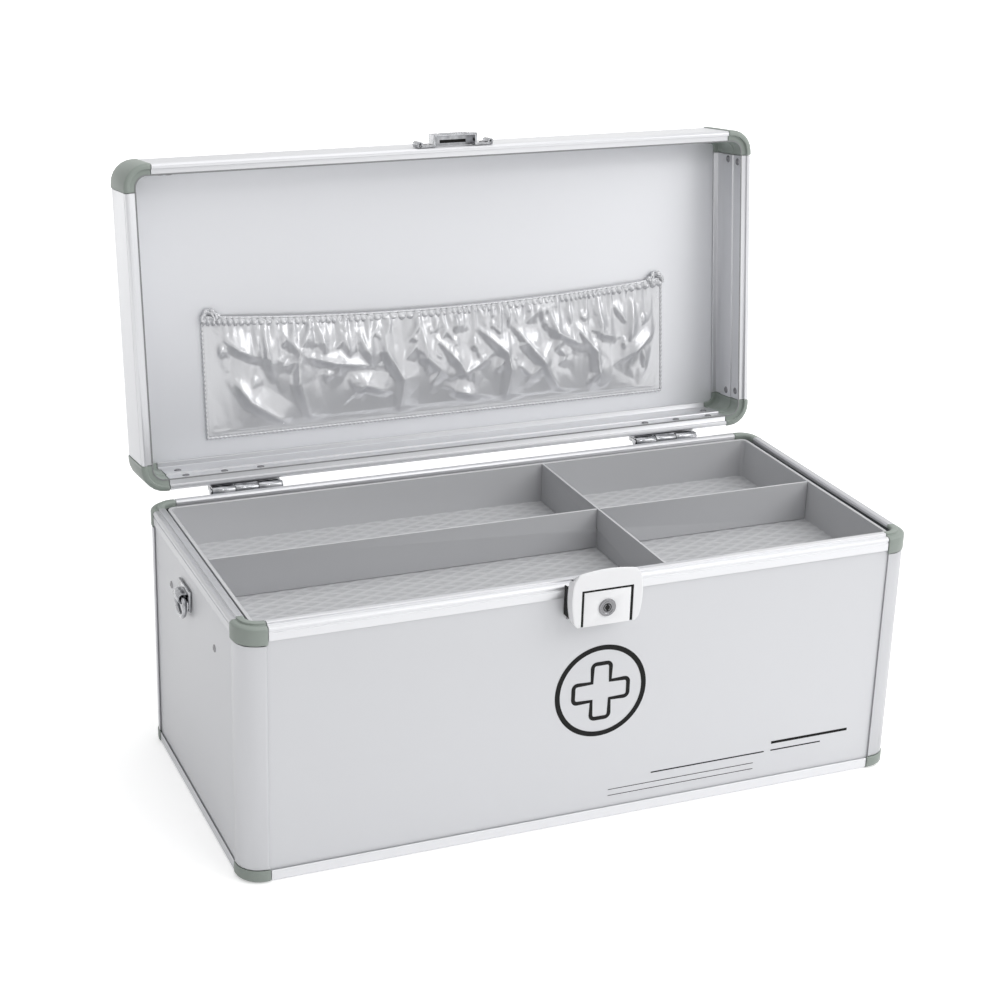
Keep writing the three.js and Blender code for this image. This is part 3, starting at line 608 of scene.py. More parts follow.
def tray_material():
    """Grey plastic with an embossed floor, painted lighter on its ridges and on the walls' top edges as
    highlights.
    """
    finish = bpy.context.scene.case_finish
    material = finish_material(
        "tray_plastic", finish.tray, rough=0.46, shade=0.05, scale=12, grain=900, depth=0.02 * MM
    )
    tree, shader = material.node_tree, shader_of(material)
    grained = shader.inputs["Normal"].links[0].from_socket
    marked = shader.inputs["Base Color"].links[0].from_socket
    relief = placed_group(tree, "Tray Relief", emboss_group).outputs
    bumps = {"Distance": EMBOSS_DEPTH, "Strength": EMBOSS_STRENGTH, "Height": relief["Relief"]}
    emboss = new_node(tree, "Bump", {**bumps, "Normal": grained})
    # Painted highlight: lighter colour on the ridges and the walls' top edges.
    ridges = math_node(tree, "MULTIPLY", relief["Relief"], EMBOSS_HIGHLIGHT_SHARE)
    highlit = math_node(tree, "MAXIMUM", ridges, relief["Edge"])
    tints = {"A": marked, "B": (*finish.tray_highlight, 1), "Factor": highlit}
    light = new_node(tree, "Mix", tints, data_type="RGBA")
    feed(tree, shader, {"Normal": emboss.outputs["Normal"], "Base Color": light.outputs["Result"]})
    return material


def grip_material():
    base = bpy.context.scene.case_finish.grip
    return finish_material(
        "grip_plastic", base, rough=0.45, shade=0.2, scale=60, grain=1500, depth=0.03 * MM
    )


def ink_and_shade_material(name):
    # Print ink, and also the painted shade in gaps, slots and the keyhole.
    base = bpy.context.scene.case_finish.ink
    material = finish_material(name, base, rough=0.55, shade=0.3, scale=80, grain=900, depth=0.004 * MM)
    shader_of(material).inputs["Specular IOR Level"].default_value = 0.2
    return material


def dark_strip_material(name, base):
    # A dark, matt strip: in the lid's recess it is painted shade; round the tray it is a dark band.
    material = finish_material(name, base, rough=0.75, shade=0.3, scale=90, grain=1600, depth=0.03 * MM)
    shader_of(material).inputs["Specular IOR Level"].default_value = 0.25
    return material


def cloth_material():
    base = bpy.context.scene.case_finish.cloth
    material = finish_material(
        "silver_cloth", base, rough=0.26, metal=0.35, spread=0.06, shade=0.05, scale=60,
        grain=350, depth=0.05 * MM, detail=4,
    )
    shader_of(material).inputs["Specular IOR Level"].default_value = 0.8
    return material


# Cloth pocket


POCKET_HALF = 137 * MM
POCKET_TOP = 1 * MM
POCKET_LOW = 66 * MM
POCKET_SAG = 6 * MM
POCKET_BACK = 28.7 * MM
POCKET_BULGE = 3.6 * MM
HEM = 2.4 * MM
HEM_HEIGHT = 0.4 * MM
GATHER_HEIGHT = 2.1 * MM
FOLD_HEIGHT = 3.6 * MM
FOLD_GENTLE = 11 * MM
FOLD_STEEP = 4 * MM
PINCH_HEIGHT = 1.5 * MM
PINCH_WIDTH = 1.5 * MM
FOLD_END_SHARE = 0.3
CROSSING_SHARE = 0.2
BULGE_POWER = 0.6
BULGE_START_SHARE = 0.12
MOUTH_GAP = 1.2 * MM
MOUTH_FOLD_SHARE = 0.1
SEWN_BULGE_SHARE = 0.2
EDGE_RISE = 12
END_RISE = 8
LOW_FULLNESS_SHARE = 0.25
LOOSE_WITHIN = 5 * MM
GATHER_SEED = 5
GATHER_DRIFTS = ((0.8, 9), (0.5, 23))
SPARE_GATHERS = 3
STRENGTH_RANGE = (0.45, 1.3)
REACH_RANGE = (5, 15)
CREASE_SIZE = 0.55
CREASE_SPAN = 128
CREASE_TOP = 8
CREASE_DEPTH = 38
CREASE_CROWDING = 1.4
CREASE_LEAN = 0.55
CREASE_RANGE = (3, 8)
# Main folds in mm: places along the case, and from the lid's middle line towards its back
FOLDS = (
    ((-105, 6), (-103, 24), (-99, 35)),
    ((-95, 10), (-85, 22), (-86, 40), (-79, 60)),
    ((-79, 10), (-85, 22)),
    ((-73, 9), (-72, 18), (-71, 27)),
    ((-61, 12), (-56, 29)),
    ((-52, 13), (-47, 25), (-43, 34)),
    ((-37, 12), (-36, 26), (-26, 43), (-27, 64)),
    ((-82, 25), (-66, 30), (-44, 34)),
    ((-52, 48), (-48, 44), (-36, 49)),
    ((-122, 34), (-113, 48), (-91, 63)),
    ((-126, 12), (-118, 19), (-108, 24)),
    ((-14, 13), (-12, 32), (0, 43)),
    ((6, 9), (6, 20)),
    ((20, 18), (36, 33), (39, 44), (37, 63)),
    ((41, 18), (54, 35), (60, 42), (70, 57)),
    ((79, 21), (93, 38), (95, 51), (92, 57)),
    ((111, 45), (131, 31)),
    ((-6, 21), (6, 35), (11, 43), (24, 37)),
    ((6, 53), (19, 57)),
    ((95, 10), (96, 28), (106, 31)),
    ((117, 12), (115, 35)),
    ((64, 12), (68, 25), (85, 34)),
)
SIM_SCALE = 10
CLOTH_GAP = 0.004
# The board that the cloth lies against: half its length, its edges and its height from the rim
BOARD_HALF = 160 * MM
BOARD_LOW = -30 * MM
BOARD_HIGH = 90 * MM
BOARD_W = 29.2 * MM
CLOTH_LIMIT = 0.25 * MM
CLOTH_SOFTNESS = 0.3 * MM
SOFT_RANGE = 30
SMOOTHING = 0.3


def pocket_top(x):
    """Height of the pocket's elastic edge, which sags between its corners."""
    return POCKET_TOP + POCKET_SAG * (1 - (x / POCKET_HALF) ** 2)


def short_creases(noise, count):
    """Seeded short creases, most of them upright and near the elastic."""
    made = []
    for _ in range(count):
        x = noise.uniform(-CREASE_SPAN, CREASE_SPAN)
        y = CREASE_TOP + CREASE_DEPTH * noise.random() ** CREASE_CROWDING
        lean, reach = noise.gauss(0, CREASE_LEAN), noise.uniform(*CREASE_RANGE)
        across, down = reach * math.sin(lean), reach * math.cos(lean)
        made.append(((x - across, y - down), (x + across, y + down)))
    return made


def fold_lines(creases):
    """Straight stretches of the folds in metres, each with its share of the fold's length and its size."""
    lines = []
    for folds, size in ((FOLDS, 1.0), (creases, CREASE_SIZE)):
        for fold in folds:
            count = len(fold) - 1
            for index in range(count):
                (ax, ay), (bx, by) = fold[index], fold[index + 1]
                ax, ay, dx, dy = ax * MM, ay * MM, (bx - ax) * MM, (by - ay) * MM
                lines.append((ax, ay, dx, dy, math.hypot(dx, dy), index / count, 1 / count, size))
    return lines


def fold_height(lines, x, y):
    """How far folds lift the cloth. Each is a tent with a gentle and a steep side and a pinched crest."""
    total = 0.0
    for ax, ay, dx, dy, reach, first, share_of_fold, size in lines:
        ox, oy = x - ax, y - ay
        part = clamped((ox * dx + oy * dy) / reach**2)
        gap = math.hypot(ox - part * dx, oy - part * dy)
        if gap > FOLD_GENTLE * size:
            continue
        side = ox * dy - oy * dx
        width = size * (FOLD_STEEP if side < 0 else FOLD_GENTLE)
        ends = FOLD_END_SHARE + (1 - FOLD_END_SHARE) * math.sin(math.pi * (first + part * share_of_fold))
        tent = FOLD_HEIGHT * max(0.0, 1 - gap / width)
        height = ends * size * (tent + PINCH_HEIGHT * math.exp(-gap / PINCH_WIDTH))
        total = max(total, height) + CROSSING_SHARE * min(total, height)
    return total


def pocket_bulge(u, v):
    """How far the pocket stands off the board, by its shares across and down."""
    edge = min(1, EDGE_RISE * min(u, 1 - u))
    across = (4 * u * (1 - u)) ** BULGE_POWER
    down = math.sin(math.pi * (BULGE_START_SHARE + (1 - BULGE_START_SHARE) * v))
    return POCKET_BULGE * across * down + MOUTH_GAP * edge * (1 - v)


def gather_phase(u, gathers):
    """Position along the gathers, which lie unevenly."""
    phase = gathers * u
    for reach, rate in GATHER_DRIFTS:
        phase += reach * math.sin(rate * u)
    return phase + 1


def gather_strengths(noise, gathers):
    """A seeded strength for each gather, and for those that the uneven places add at the ends."""
    return [noise.uniform(*STRENGTH_RANGE) for _ in range(gathers + SPARE_GATHERS)]


class PocketForm:
    """The gathered pocket's relief, with seeded gathers and creases."""

    def __init__(self, given):
        noise = random.Random(GATHER_SEED)
        self.gathers = given.gathers
        self.strengths = gather_strengths(noise, given.gathers)
        spots = range(given.gathers + SPARE_GATHERS)
        self.reaches = [noise.uniform(*REACH_RANGE) * MM for _ in spots]
        self.lines = fold_lines(short_creases(noise, given.creases))

    def gather_height(self, u, below):
        """Round ridges with sharp valleys between them, which run out below the elastic."""
        phase = gather_phase(u, self.gathers)
        wave = abs(math.sin(math.pi * phase)) * self.strengths[int(phase)]
        fading = math.exp(-below / self.reaches[int(phase)])
        return GATHER_HEIGHT * wave * fading * min(1, END_RISE * min(u, 1 - u))

    def point(self, u, v):
        """A point of the gathered sheet, by its shares across and down."""
        x = (2 * u - 1) * POCKET_HALF
        top = pocket_top(x)
        y = top + (POCKET_LOW - top) * v
        inset = min(POCKET_HALF - abs(x), POCKET_LOW - y)
        loose = clamped((inset - HEM) / LOOSE_WITHIN)
        bulge = pocket_bulge(u, v) * min(1, SEWN_BULGE_SHARE + loose)
        gather = self.gather_height(u, y - top)
        fold = fold_height(self.lines, x, y) * loose * min(1, EDGE_RISE * v + MOUTH_FOLD_SHARE)
        hem = HEM_HEIGHT * math.sin(math.pi * max(0.0, inset) / HEM) if inset < HEM else 0.0
        return Vector((x, y, POCKET_BACK - bulge - gather - fold - hem))


def flat_size(given):
    """Height of the flat sheet, and its width at the elastic and at the foot."""
    height = (POCKET_LOW - POCKET_TOP) * given.slack
    top_width = 2 * POCKET_HALF * given.fullness
    low_width = 2 * POCKET_HALF * (1 + (given.fullness - 1) * LOW_FULLNESS_SHARE)
    return height, top_width, low_width


def pocket_start(given):
    """The gathered sheet before it settles, the flat sheet that it was cut from, and their faces."""
    form = PocketForm(given)
    height, top_width, low_width = flat_size(given)
    columns, rows = given.columns, given.rows
    gathered, flat = [], []
    for row in range(rows + 1):
        v = row / rows
        width = top_width + (low_width - top_width) * v
        for column in range(columns + 1):
            u = column / columns
            gathered.append(form.point(u, v))
            flat.append(Vector(((u - 0.5) * width, v * height, 0)))
    return gathered, flat, grid_faces(columns, rows)


def grid_faces(columns, rows):
    """Faces of a grid of points given row by row."""
    faces = []
    for row in range(rows):
        for column in range(columns):
            a = row * (columns + 1) + column
            faces.append((a, a + columns + 1, a + columns + 2, a + 1))
    return faces


def sewn_points(gathered, columns):
    """The points that the elastic and the sewn border hold."""
    return [
        index for index, p in enumerate(gathered)
        if index <= columns or min(POCKET_HALF - abs(p.x), POCKET_LOW - p.y) < HEM
    ]


def settle_cloth(given, gathered, flat, faces):
    """Lets the gathered sheet buckle between its sewn edges, at ten times its size."""
    mesh = mesh_from("pocket_trial", [p * SIM_SCALE for p in gathered], faces)
    trial = new_object("pocket_trial", mesh)
    trial.shape_key_add(name="gathered")
    rest = trial.shape_key_add(name="flat")
    for index, place in enumerate(flat):
        rest.data[index].co = place * SIM_SCALE
    rest.value = 0
    pins = trial.vertex_groups.new(name="sewn")
    pins.add(sewn_points(gathered, given.columns), 1, "REPLACE")
    cloth = trial.modifiers.new("cloth", "CLOTH")
    settings = cloth.settings
    settings.vertex_group_mass = "sewn"
    settings.rest_shape_key = rest
    settings.quality = 6
    settings.mass = 0.05
    settings.tension_stiffness = settings.compression_stiffness = 40
    settings.shear_stiffness = 12
    settings.bending_stiffness = 0.6
    settings.tension_damping = settings.compression_damping = 4
    settings.shear_damping = 4
    settings.air_damping = 4
    settings.effector_weights.gravity = 0
    cloth.collision_settings.use_self_collision = False
    board = add_board_stop()
    cloth.collision_settings.distance_min = CLOTH_GAP
    cloth.point_cache.frame_start = 1
    cloth.point_cache.frame_end = given.frames
    scene = bpy.context.scene
    for frame_number in range(1, given.frames + 1):
        scene.frame_set(frame_number)
    settled = trial.evaluated_get(bpy.context.evaluated_depsgraph_get())
    places = [v.co / SIM_SCALE for v in settled.data.vertices]
    scene.frame_set(1)
    for spare in (trial, board):
        bpy.data.objects.remove(spare)
    return places


def smoothed(places, columns, rows):
    """Each inner point drawn a little way to the mean of its four neighbours."""
    made = list(places)
    for row in range(1, rows - 1):
        for column in range(1, columns - 1):
            index = row * columns + column
            beside = places[index - 1] + places[index + 1]
            mean = (beside + places[index - columns] + places[index + columns]) / 4
            made[index] = places[index].lerp(mean, SMOOTHING)
    return made


def add_board_stop():
    """The lid board behind the pocket, for the cloth to lie against."""
    x, low, high, w = (value * SIM_SCALE for value in (BOARD_HALF, BOARD_LOW, BOARD_HIGH, BOARD_W))
    mesh = mesh_from("board_stop", [(-x, low, w), (x, low, w), (x, high, w), (-x, high, w)], [(3, 2, 1, 0)])
    board = new_object("board_stop", mesh)
    board.modifiers.new("collision", "COLLISION")
    board.collision.thickness_outer = CLOTH_GAP
    return board


def kept_off_board(p):
    """A point eased back to just in front of the lid board where it would pass it."""
    limit = POCKET_BACK + CLOTH_LIMIT
    gap = (limit - p.z) / CLOTH_SOFTNESS
    clear = gap if gap > SOFT_RANGE else math.log1p(math.exp(max(-SOFT_RANGE, gap)))
    return Vector((p.x, p.y, limit - CLOTH_SOFTNESS * clear))


class CASE_OT_pocket(bpy.types.Operator):
    """Make the gathered cloth pocket of the lid, with its casing and sewn border"""

    bl_idname = "case.pocket"
    bl_label = "Pocket"

    def execute(self, context):
        given = context.scene.case_pocket
        gathered, flat, faces = pocket_start(given)
        places = settle_cloth(given, gathered, flat, faces)
        places = smoothed(places, given.columns + 1, given.rows + 1)
        points = [kept_off_board(p) for p in places]
        material = cloth_material()
        faces = [tuple(reversed(face)) for face in faces]
        cloth = add_cloth_piece("pocket_cloth", points, faces, material)
        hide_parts("pocket")
        border = add_border(material)
        casing = add_casing(given, material)
        loops = add_loops(material)
        return {"FINISHED"}


def add_cloth_piece(name, points, faces, material):
    """A piece of the pocket, given in the closed lid's own frame."""
    placed = lid_matrix()
    mesh = mesh_from(name, [placed @ p for p in points], faces)
    return add_piece(name, mesh, "lid", material)


BORDER_STEP = 0.45 * MM
BORDER_W = 28.35 * MM
BORDER_RADIUS = 0.66 * MM
BORDER_RIPPLE = 0.14 * MM
RIPPLE_TURN = 1.15


def add_border(material):
    """Piping sewn round the sides and the bottom of the pocket."""
    corners = [
        Vector((x, y, BORDER_W))
        for x, y in (
            (-POCKET_HALF, POCKET_TOP),
            (-POCKET_HALF, POCKET_LOW),
            (POCKET_HALF, POCKET_LOW),
            (POCKET_HALF, POCKET_TOP),
        )
    ]
    path = []
    for start, end in zip(corners, corners[1:]):
        count = int((end - start).length / BORDER_STEP)
        path += [start.lerp(end, index / count) for index in range(count)]
    path.append(corners[-1])
    radii = [BORDER_RADIUS + BORDER_RIPPLE * math.sin(index * RIPPLE_TURN) for index in range(len(path))]
    return add_cloth_piece("pocket_border", *tube(path, radii), material)


# Section of the casing in mm: down from the elastic, and out from the pocket
CASING_SECTION = (
    (-2.0, 0.5), (-2.0, -0.3), (-1.6, -0.75), (-1.1, -0.8), (-0.8, -0.45), (-0.5, -0.6),
    (0.2, -1.3), (1.0, -1.6), (1.8, -1.3), (2.6, -0.5), (3.1, 0.3),
)
CASING_CELLS = 14
CASING_EDGE = 1.0
CASING_EASE = 1.2
PUCKERS_PER_GATHER = 1.25
PUCKER_EVEN_SHARE = 0.6
PUCKER_POWER = 0.7
PUCKER_HEIGHT = 2.1
PUCKER_MIDDLE = 1.1
PUCKER_DROP = 0.4
EDGE_RIPPLE = 0.25


def add_casing(given, material):
    """Elastic casing along the top of the pocket, puckered by the gathers below it."""
    strengths = gather_strengths(random.Random(GATHER_SEED), given.gathers)
    columns = given.gathers * CASING_CELLS
    points = []
    for column in range(columns + 1):
        u = column / columns
        x = (2 * u - 1) * POCKET_HALF
        phase = gather_phase(u, given.gathers)
        wave = abs(math.sin(math.pi * PUCKERS_PER_GATHER * phase)) ** PUCKER_POWER
        strength = strengths[int(phase)]
        for down, out in CASING_SECTION:
            loose = clamped((down + CASING_EDGE) / CASING_EASE)
            own = PUCKER_EVEN_SHARE + (1 - PUCKER_EVEN_SHARE) * strength
            lift = loose * own * (PUCKER_HEIGHT * wave - PUCKER_MIDDLE)
            ripple = EDGE_RIPPLE * (1 - loose) * wave
            w = POCKET_BACK - pocket_bulge(u, 0) + (out - lift - ripple) * MM
            points.append(Vector((x, pocket_top(x) + (down + PUCKER_DROP * loose * wave) * MM, w)))
    faces = grid_faces(len(CASING_SECTION) - 1, columns)
    return add_cloth_piece("pocket_casing", points, faces, material)


# Strands of a loop in mm: how much wider than the first, and how tall
LOOP_STRANDS = ((0, 6.2), (1.1, 4.6), (-0.9, 5.2))
LOOP_SEED = 3
LOOP_STEPS = 24
LOOP_SIDES = 9
LOOP_OUT = 0.3
LOOP_REACH = 5.2
LOOP_SPREAD = 0.8
LOOP_START = 1.0
LOOP_STANDOFF = 1.6
LOOP_SWAY = 0.7
SHAKE_UP = 0.35
SHAKE_OUT = 0.25
STRAND_RADIUS = 0.75
STRAND_SWELL = 0.3


def loop_strand(noise, side, wider, tall):
    """Path and radii of one strand, which rises from the pocket's corner and bends back to the casing."""
    path, radii = [], []
    for step in range(LOOP_STEPS + 1):
        turn = math.pi * step / LOOP_STEPS
        inward = LOOP_SPREAD * (LOOP_REACH + wider) * (1 - math.cos(turn))
        down = LOOP_START - tall * math.sin(turn) + noise.uniform(-SHAKE_UP, SHAKE_UP)
        out = LOOP_STANDOFF + LOOP_SWAY * math.sin(3 * turn + wider) + noise.uniform(-SHAKE_OUT, SHAKE_OUT)
        x = side * (POCKET_HALF + (LOOP_OUT - inward) * MM)
        path.append(Vector((x, POCKET_TOP + down * MM, POCKET_BACK - out * MM)))
        radii.append((STRAND_RADIUS + STRAND_SWELL * math.sin(7 * turn + 2 * wider)) * MM)
    return path, radii


def add_loops(material):
    """Bunched ends of the casing, turned up at the pocket's top corners."""
    noise = random.Random(LOOP_SEED)
    strands = [
        tube(*loop_strand(noise, side, wider, tall), sides=LOOP_SIDES)
        for side in (-1, 1) for wider, tall in LOOP_STRANDS
    ]
    return add_cloth_piece("pocket_loops", *joined(strands), material)


# Rivets


# A rivet's head outside its hole, in shares of its radius and height
HEAD_SHARES = ((1.0, 0), (0.92, 0.6), (0.7, 0.95), (0.45, 1.0))
HOLE_EDGE_SHARE = 0.9
HOLE_FLOOR_SHARE = 0.15
HOLE_TAPER_SHARE = 0.9


def add_rivets(name, body, places, material):
    """Rivets in one piece. Each place is a point and the way out of the surface."""
    given = bpy.context.scene.case_rivets
    hole = given.hole / given.radius
    shares = [*HEAD_SHARES, (hole, HOLE_EDGE_SHARE), (hole * HOLE_TAPER_SHARE, HOLE_FLOOR_SHARE)]
    profile = [(reach * given.radius, height * given.height) for reach, height in shares]
    heads = []
    for place, out in places:
        out = out.normalized()
        side = out.orthogonal().normalized()
        heads.append(turned(profile, place, (side, out.cross(side), out), given.sides, filled=True))
    return add_piece(name, mesh_from(name, *joined(heads)), body, material)


def lid_places(spots, out):
    """Rivet places given in the closed lid's own frame."""
    placed = lid_matrix()
    away = placed.to_3x3() @ Vector(out)
    return [(placed @ (Vector(spot) * MM), away) for spot in spots]


# Middles of the rivets in mm, on the closed lid (x, y and up from its rim) and on the case
LID_SIDE_RIVETS = [(173.2, y, 14.5) for y in (-68, 67)] + [(174.0, y, 5) for y in (-67, 66)]
LID_BACK_RIVETS = [(x, 78.2, 14.5) for x in (-158, 158)] + [(x, 79.0, 5) for x in (-156, 156)]
KEEPER_RIVETS = [(x, -86.42, 4.7) for x in (-17, 17)]
HINGE_RIVETS = [(x + shift, 79.0, 5) for x in (-125, 125) for shift in (-10, 10)]
SIDE_RIVETS = [(sign * 179.02, y, 105.5) for sign in (-1, 1) for y in (-40, 40)]


class CASE_OT_rivets(bpy.types.Operator):
    """Add the rivets of the lid, its fittings and the case's sides"""

    bl_idname = "case.rivets"
    bl_label = "Rivets"

    def execute(self, context):
        material = steel_material("rivet_steel")
        right = lid_places(LID_SIDE_RIVETS, (-1, 0, 0))
        left = lid_places([(-x, y, w) for x, y, w in LID_SIDE_RIVETS], (1, 0, 0))
        back = lid_places(LID_BACK_RIVETS + HINGE_RIVETS, (0, -1, 0))
        front = lid_places([(x, -y, w) for x, y, w in LID_BACK_RIVETS], (0, 1, 0))
        keeper = lid_places(KEEPER_RIVETS, (0, -1, 0))
        add_rivets("lid_rivets", "lid", right + left + back + front + keeper, material)
        sides = [(Vector(spot) * MM, Vector((math.copysign(1, spot[0]), 0, 0))) for spot in SIDE_RIVETS]
        add_rivets("case_rivets", "base", sides, material)
        return {"FINISHED"}


# Print


def stripe(path, width, closed=True):
    """A flat line of ink along a path in the case's front plane, as points and faces."""
    points, faces = [], []
    count = len(path)
    for index, place in enumerate(path):
        before = path[index - 1] if index or closed else place
        after = path[(index + 1) % count] if index < count - 1 or closed else place
        along = (after - before).normalized()
        side = Vector((-along.y, along.x))
        points += [place + side * width / 2, place - side * width / 2]
    for index in range(count if closed else count - 1):
        a, b = 2 * index, 2 * ((index + 1) % count)
        faces.append((a, a + 1, b + 1, b))
    return points, faces


def plus_path(reach, half, rounding, steps=5):
    """Outline of a plus sign with rounded ends."""
    path = []
    for quarter in range(4):
        turn = Matrix.Rotation(quarter * math.pi / 2, 2)
        outer = [(reach, -half, -1), (reach, half, 1)]
        for x, y, sign in outer:
            centre = Vector((x - rounding, y - sign * rounding))
            for step in range(steps + 1):
                part = step / steps if sign > 0 else 1 - step / steps
                angle = sign * part * math.pi / 2
                path.append(turn @ (centre + rounding * Vector((math.cos(angle), math.sin(angle)))))
        path.append(turn @ Vector((half, half)))
    return path


def add_print(name, shapes, material):
    """Ink lines as one thin piece on the front board."""
    face_y = PANEL_FRONT - bpy.context.scene.case_print.lift
    lines = [
        ([Vector((x + p.x, face_y, z + p.y)) for p in flat], faces) for (flat, faces), (x, z) in shapes
    ]
    mesh = mesh_from(name, *joined(lines))
    return add_piece(name, mesh, "base", material, smooth=False)


PLUS_LINE_SHARE = 0.8
# Width, thickness, and place across and up of each ruled line, in mm
RULED_LINES = (
    (46, 1.5, 106, 26),
    (30, 0.7, 106, 21.5),
    (66, 0.7, 36, 21.5),
    (84, 0.35, 12, 16),
    (84, 0.35, 12, 12.6),
)


def ruled_line(wide, thick, x, z):
    """One line as a shape, and its place on the front board."""
    path = [Vector((0, 0)), Vector((wide * MM, 0))]
    return stripe(path, thick * MM, closed=False), (x * MM, z * MM)


class CASE_OT_print(bpy.types.Operator):
    """Print the ring with a plus sign, and the ruled lines, on the front board"""

    bl_idname = "case.print"
    bl_label = "Print"

    def execute(self, context):
        given = context.scene.case_print
        middle = (given.middle_x, given.middle_z)
        ring = stripe(circle_path(given.ring - given.line / 2), given.line)
        plus = stripe(plus_path(given.plus, given.plus_half, given.rounding), given.line * PLUS_LINE_SHARE)
        rules = [ruled_line(*rule) for rule in RULED_LINES]
        add_print("front_print", [(ring, middle), (plus, middle)] + rules, ink_and_shade_material("black_ink"))
        return {"FINISHED"}


# Boards, frame and corners


# Heights in mm at which a lip ends in the frame, and at which it is shown
TOP_CORNER_LIP = ((122.0, 125.0),)
BOTTOM_CORNER_LIP = ((10.0, 7.0),)
TOP_RAIL_LIP = ((124.5, 126.8),)
POST_ENDS = ((121.7, 124.7), (10.3, 7.3))
LIP_MATCH = 0.1


def depth_in(place):
    """How far a point lies inside the case's outline, seen from above."""
    reach_x, reach_y = CASE_HALF_X - abs(place.x), CASE_HALF_Y - abs(place.y)
    if reach_x < POST_ROUND and reach_y < POST_ROUND:
        return POST_ROUND - math.hypot(POST_ROUND - reach_x, POST_ROUND - reach_y)
    return min(reach_x, reach_y)


def trimmed_piece(node, moves, material):
    """A copy of a frame piece whose outer lip ends at another height."""
    bm = cut_copy(node, [])
    for vertex in bm.verts:
        for before, after in moves:
            if abs(vertex.co.z - before * MM) < LIP_MATCH * MM and depth_in(vertex.co) < LIP_DEPTH:
                vertex.co.z = after * MM
    edge = bpy.context.scene.case_finish.edge
    shaped_piece(node + "_trimmed", node, bm, "base", material, edge)


class CASE_OT_boards(bpy.types.Operator):
    """Finish the laminated boards of the case and the lid"""

    bl_idname = "case.boards"
    bl_label = "Boards"

    def execute(self, context):
        given = context.scene.case_finish
        boards = [side + "_panel" for side in SIDES] + ["bottom_panel"]
        paint(boards, board_material("silver_laminate"), given.board_edge)
        # The lid's board takes a lighter copy of the laminate: painted light.
        paint(["lid_panel"], board_material("lid_laminate_painted_lighter", given.lid_painted_light_gain), given.board_edge)
        return {"FINISHED"}


class CASE_OT_frame(bpy.types.Operator):
    """Finish the rails, posts and tray ledges"""

    bl_idname = "case.frame"
    bl_label = "Frame"

    def execute(self, context):
        given = context.scene.case_finish
        along_x = metal_material("aluminium_along_x", given.metal, DRAWN_X)
        # Side rails and tray ledges get a darker copy of the aluminium: painted shade.
        along_y = metal_material("aluminium_along_y_painted_shade", given.side_rail_painted_shade, DRAWN_Y)
        rails = {"front": along_x, "back": along_x, "left": along_y, "right": along_y}
        for side, material in rails.items():
            paint(["bottom_rail_" + side], material, given.edge)
            trimmed_piece("top_rail_" + side, TOP_RAIL_LIP, material)
        lid_along_x = metal_material("lid_along_x", given.lid_rail, DRAWN_X)
        paint(["lid_rail_front", "lid_rail_back"], lid_along_x, given.edge)
        lid_along_z = metal_material("lid_along_z", given.lid_rail, DRAWN_Z)
        paint(["lid_rail_left", "lid_rail_right"], lid_along_z, given.edge)
        posts = metal_material("aluminium_posts", given.post, DRAWN_Z)
        for corner in CORNERS:
            trimmed_piece("post_" + corner, POST_ENDS, posts)
        paint(starting("tray_ledge_"), along_y, given.edge)
        return {"FINISHED"}


class CASE_OT_corners(bpy.types.Operator):
    """Finish the moulded corner pieces"""

    bl_idname = "case.corners"
    bl_label = "Corners"

    def execute(self, context):
        material = corner_material()
        for corner in CORNERS:
            trimmed_piece("top_corner_" + corner, TOP_CORNER_LIP, material)
            trimmed_piece("bottom_corner_" + corner, BOTTOM_CORNER_LIP, material)
        paint(["lid_corner_" + corner for corner in CORNERS], material, context.scene.case_finish.edge)
        return {"FINISHED"}


# Strips along the rim


# Depths and heights of the strip painted as the shade in the lid's recess
LID_SHADE_DEPTHS = (5.3 * MM, 5.98 * MM)
LID_SHADE_HEIGHTS = (1.35 * MM, 1.62 * MM)
# Depths and heights of the dark band round the tray, and how far its top comes lower towards the back
TRAY_BAND_DEPTHS = (6.75 * MM, 7.15 * MM)
TRAY_BAND_HEIGHTS = (128 * MM, 133.4 * MM)
TRAY_BAND_DROP = 1.3 * MM
DROP_START = 60 * MM
DROP_END = 76 * MM


def rim_path(depth, steps=8):
    """Outline of the case seen from above, drawn in by a depth."""
    radius = POST_ROUND - depth
    path = []
    for quarter, (sx, sy) in enumerate(((1, 1), (-1, 1), (-1, -1), (1, -1))):
        middle_x = sx * (CASE_HALF_X - POST_ROUND)
        middle_y = sy * (CASE_HALF_Y - POST_ROUND)
        for step in range(steps + 1):
            turn = (quarter + step / steps) * math.pi / 2
            path.append((middle_x + radius * math.cos(turn), middle_y + radius * math.sin(turn)))
    return path


def rim_strip(name, depths, heights):
    """A closed strip of square section along the rim, between two depths and two heights."""
    section = [rim_path(depth) for depth in depths]
    count = len(section[0])
    points, faces = [], []
    for index in range(count):
        points += [Vector((*path[index], height)) for path in section for height in heights]
        a, b = 4 * index, 4 * ((index + 1) % count)
        faces += [(a + i, a + j, b + j, b + i) for i, j in ((0, 1), (1, 3), (3, 2), (2, 0))]
    return mesh_from(name, points, faces)


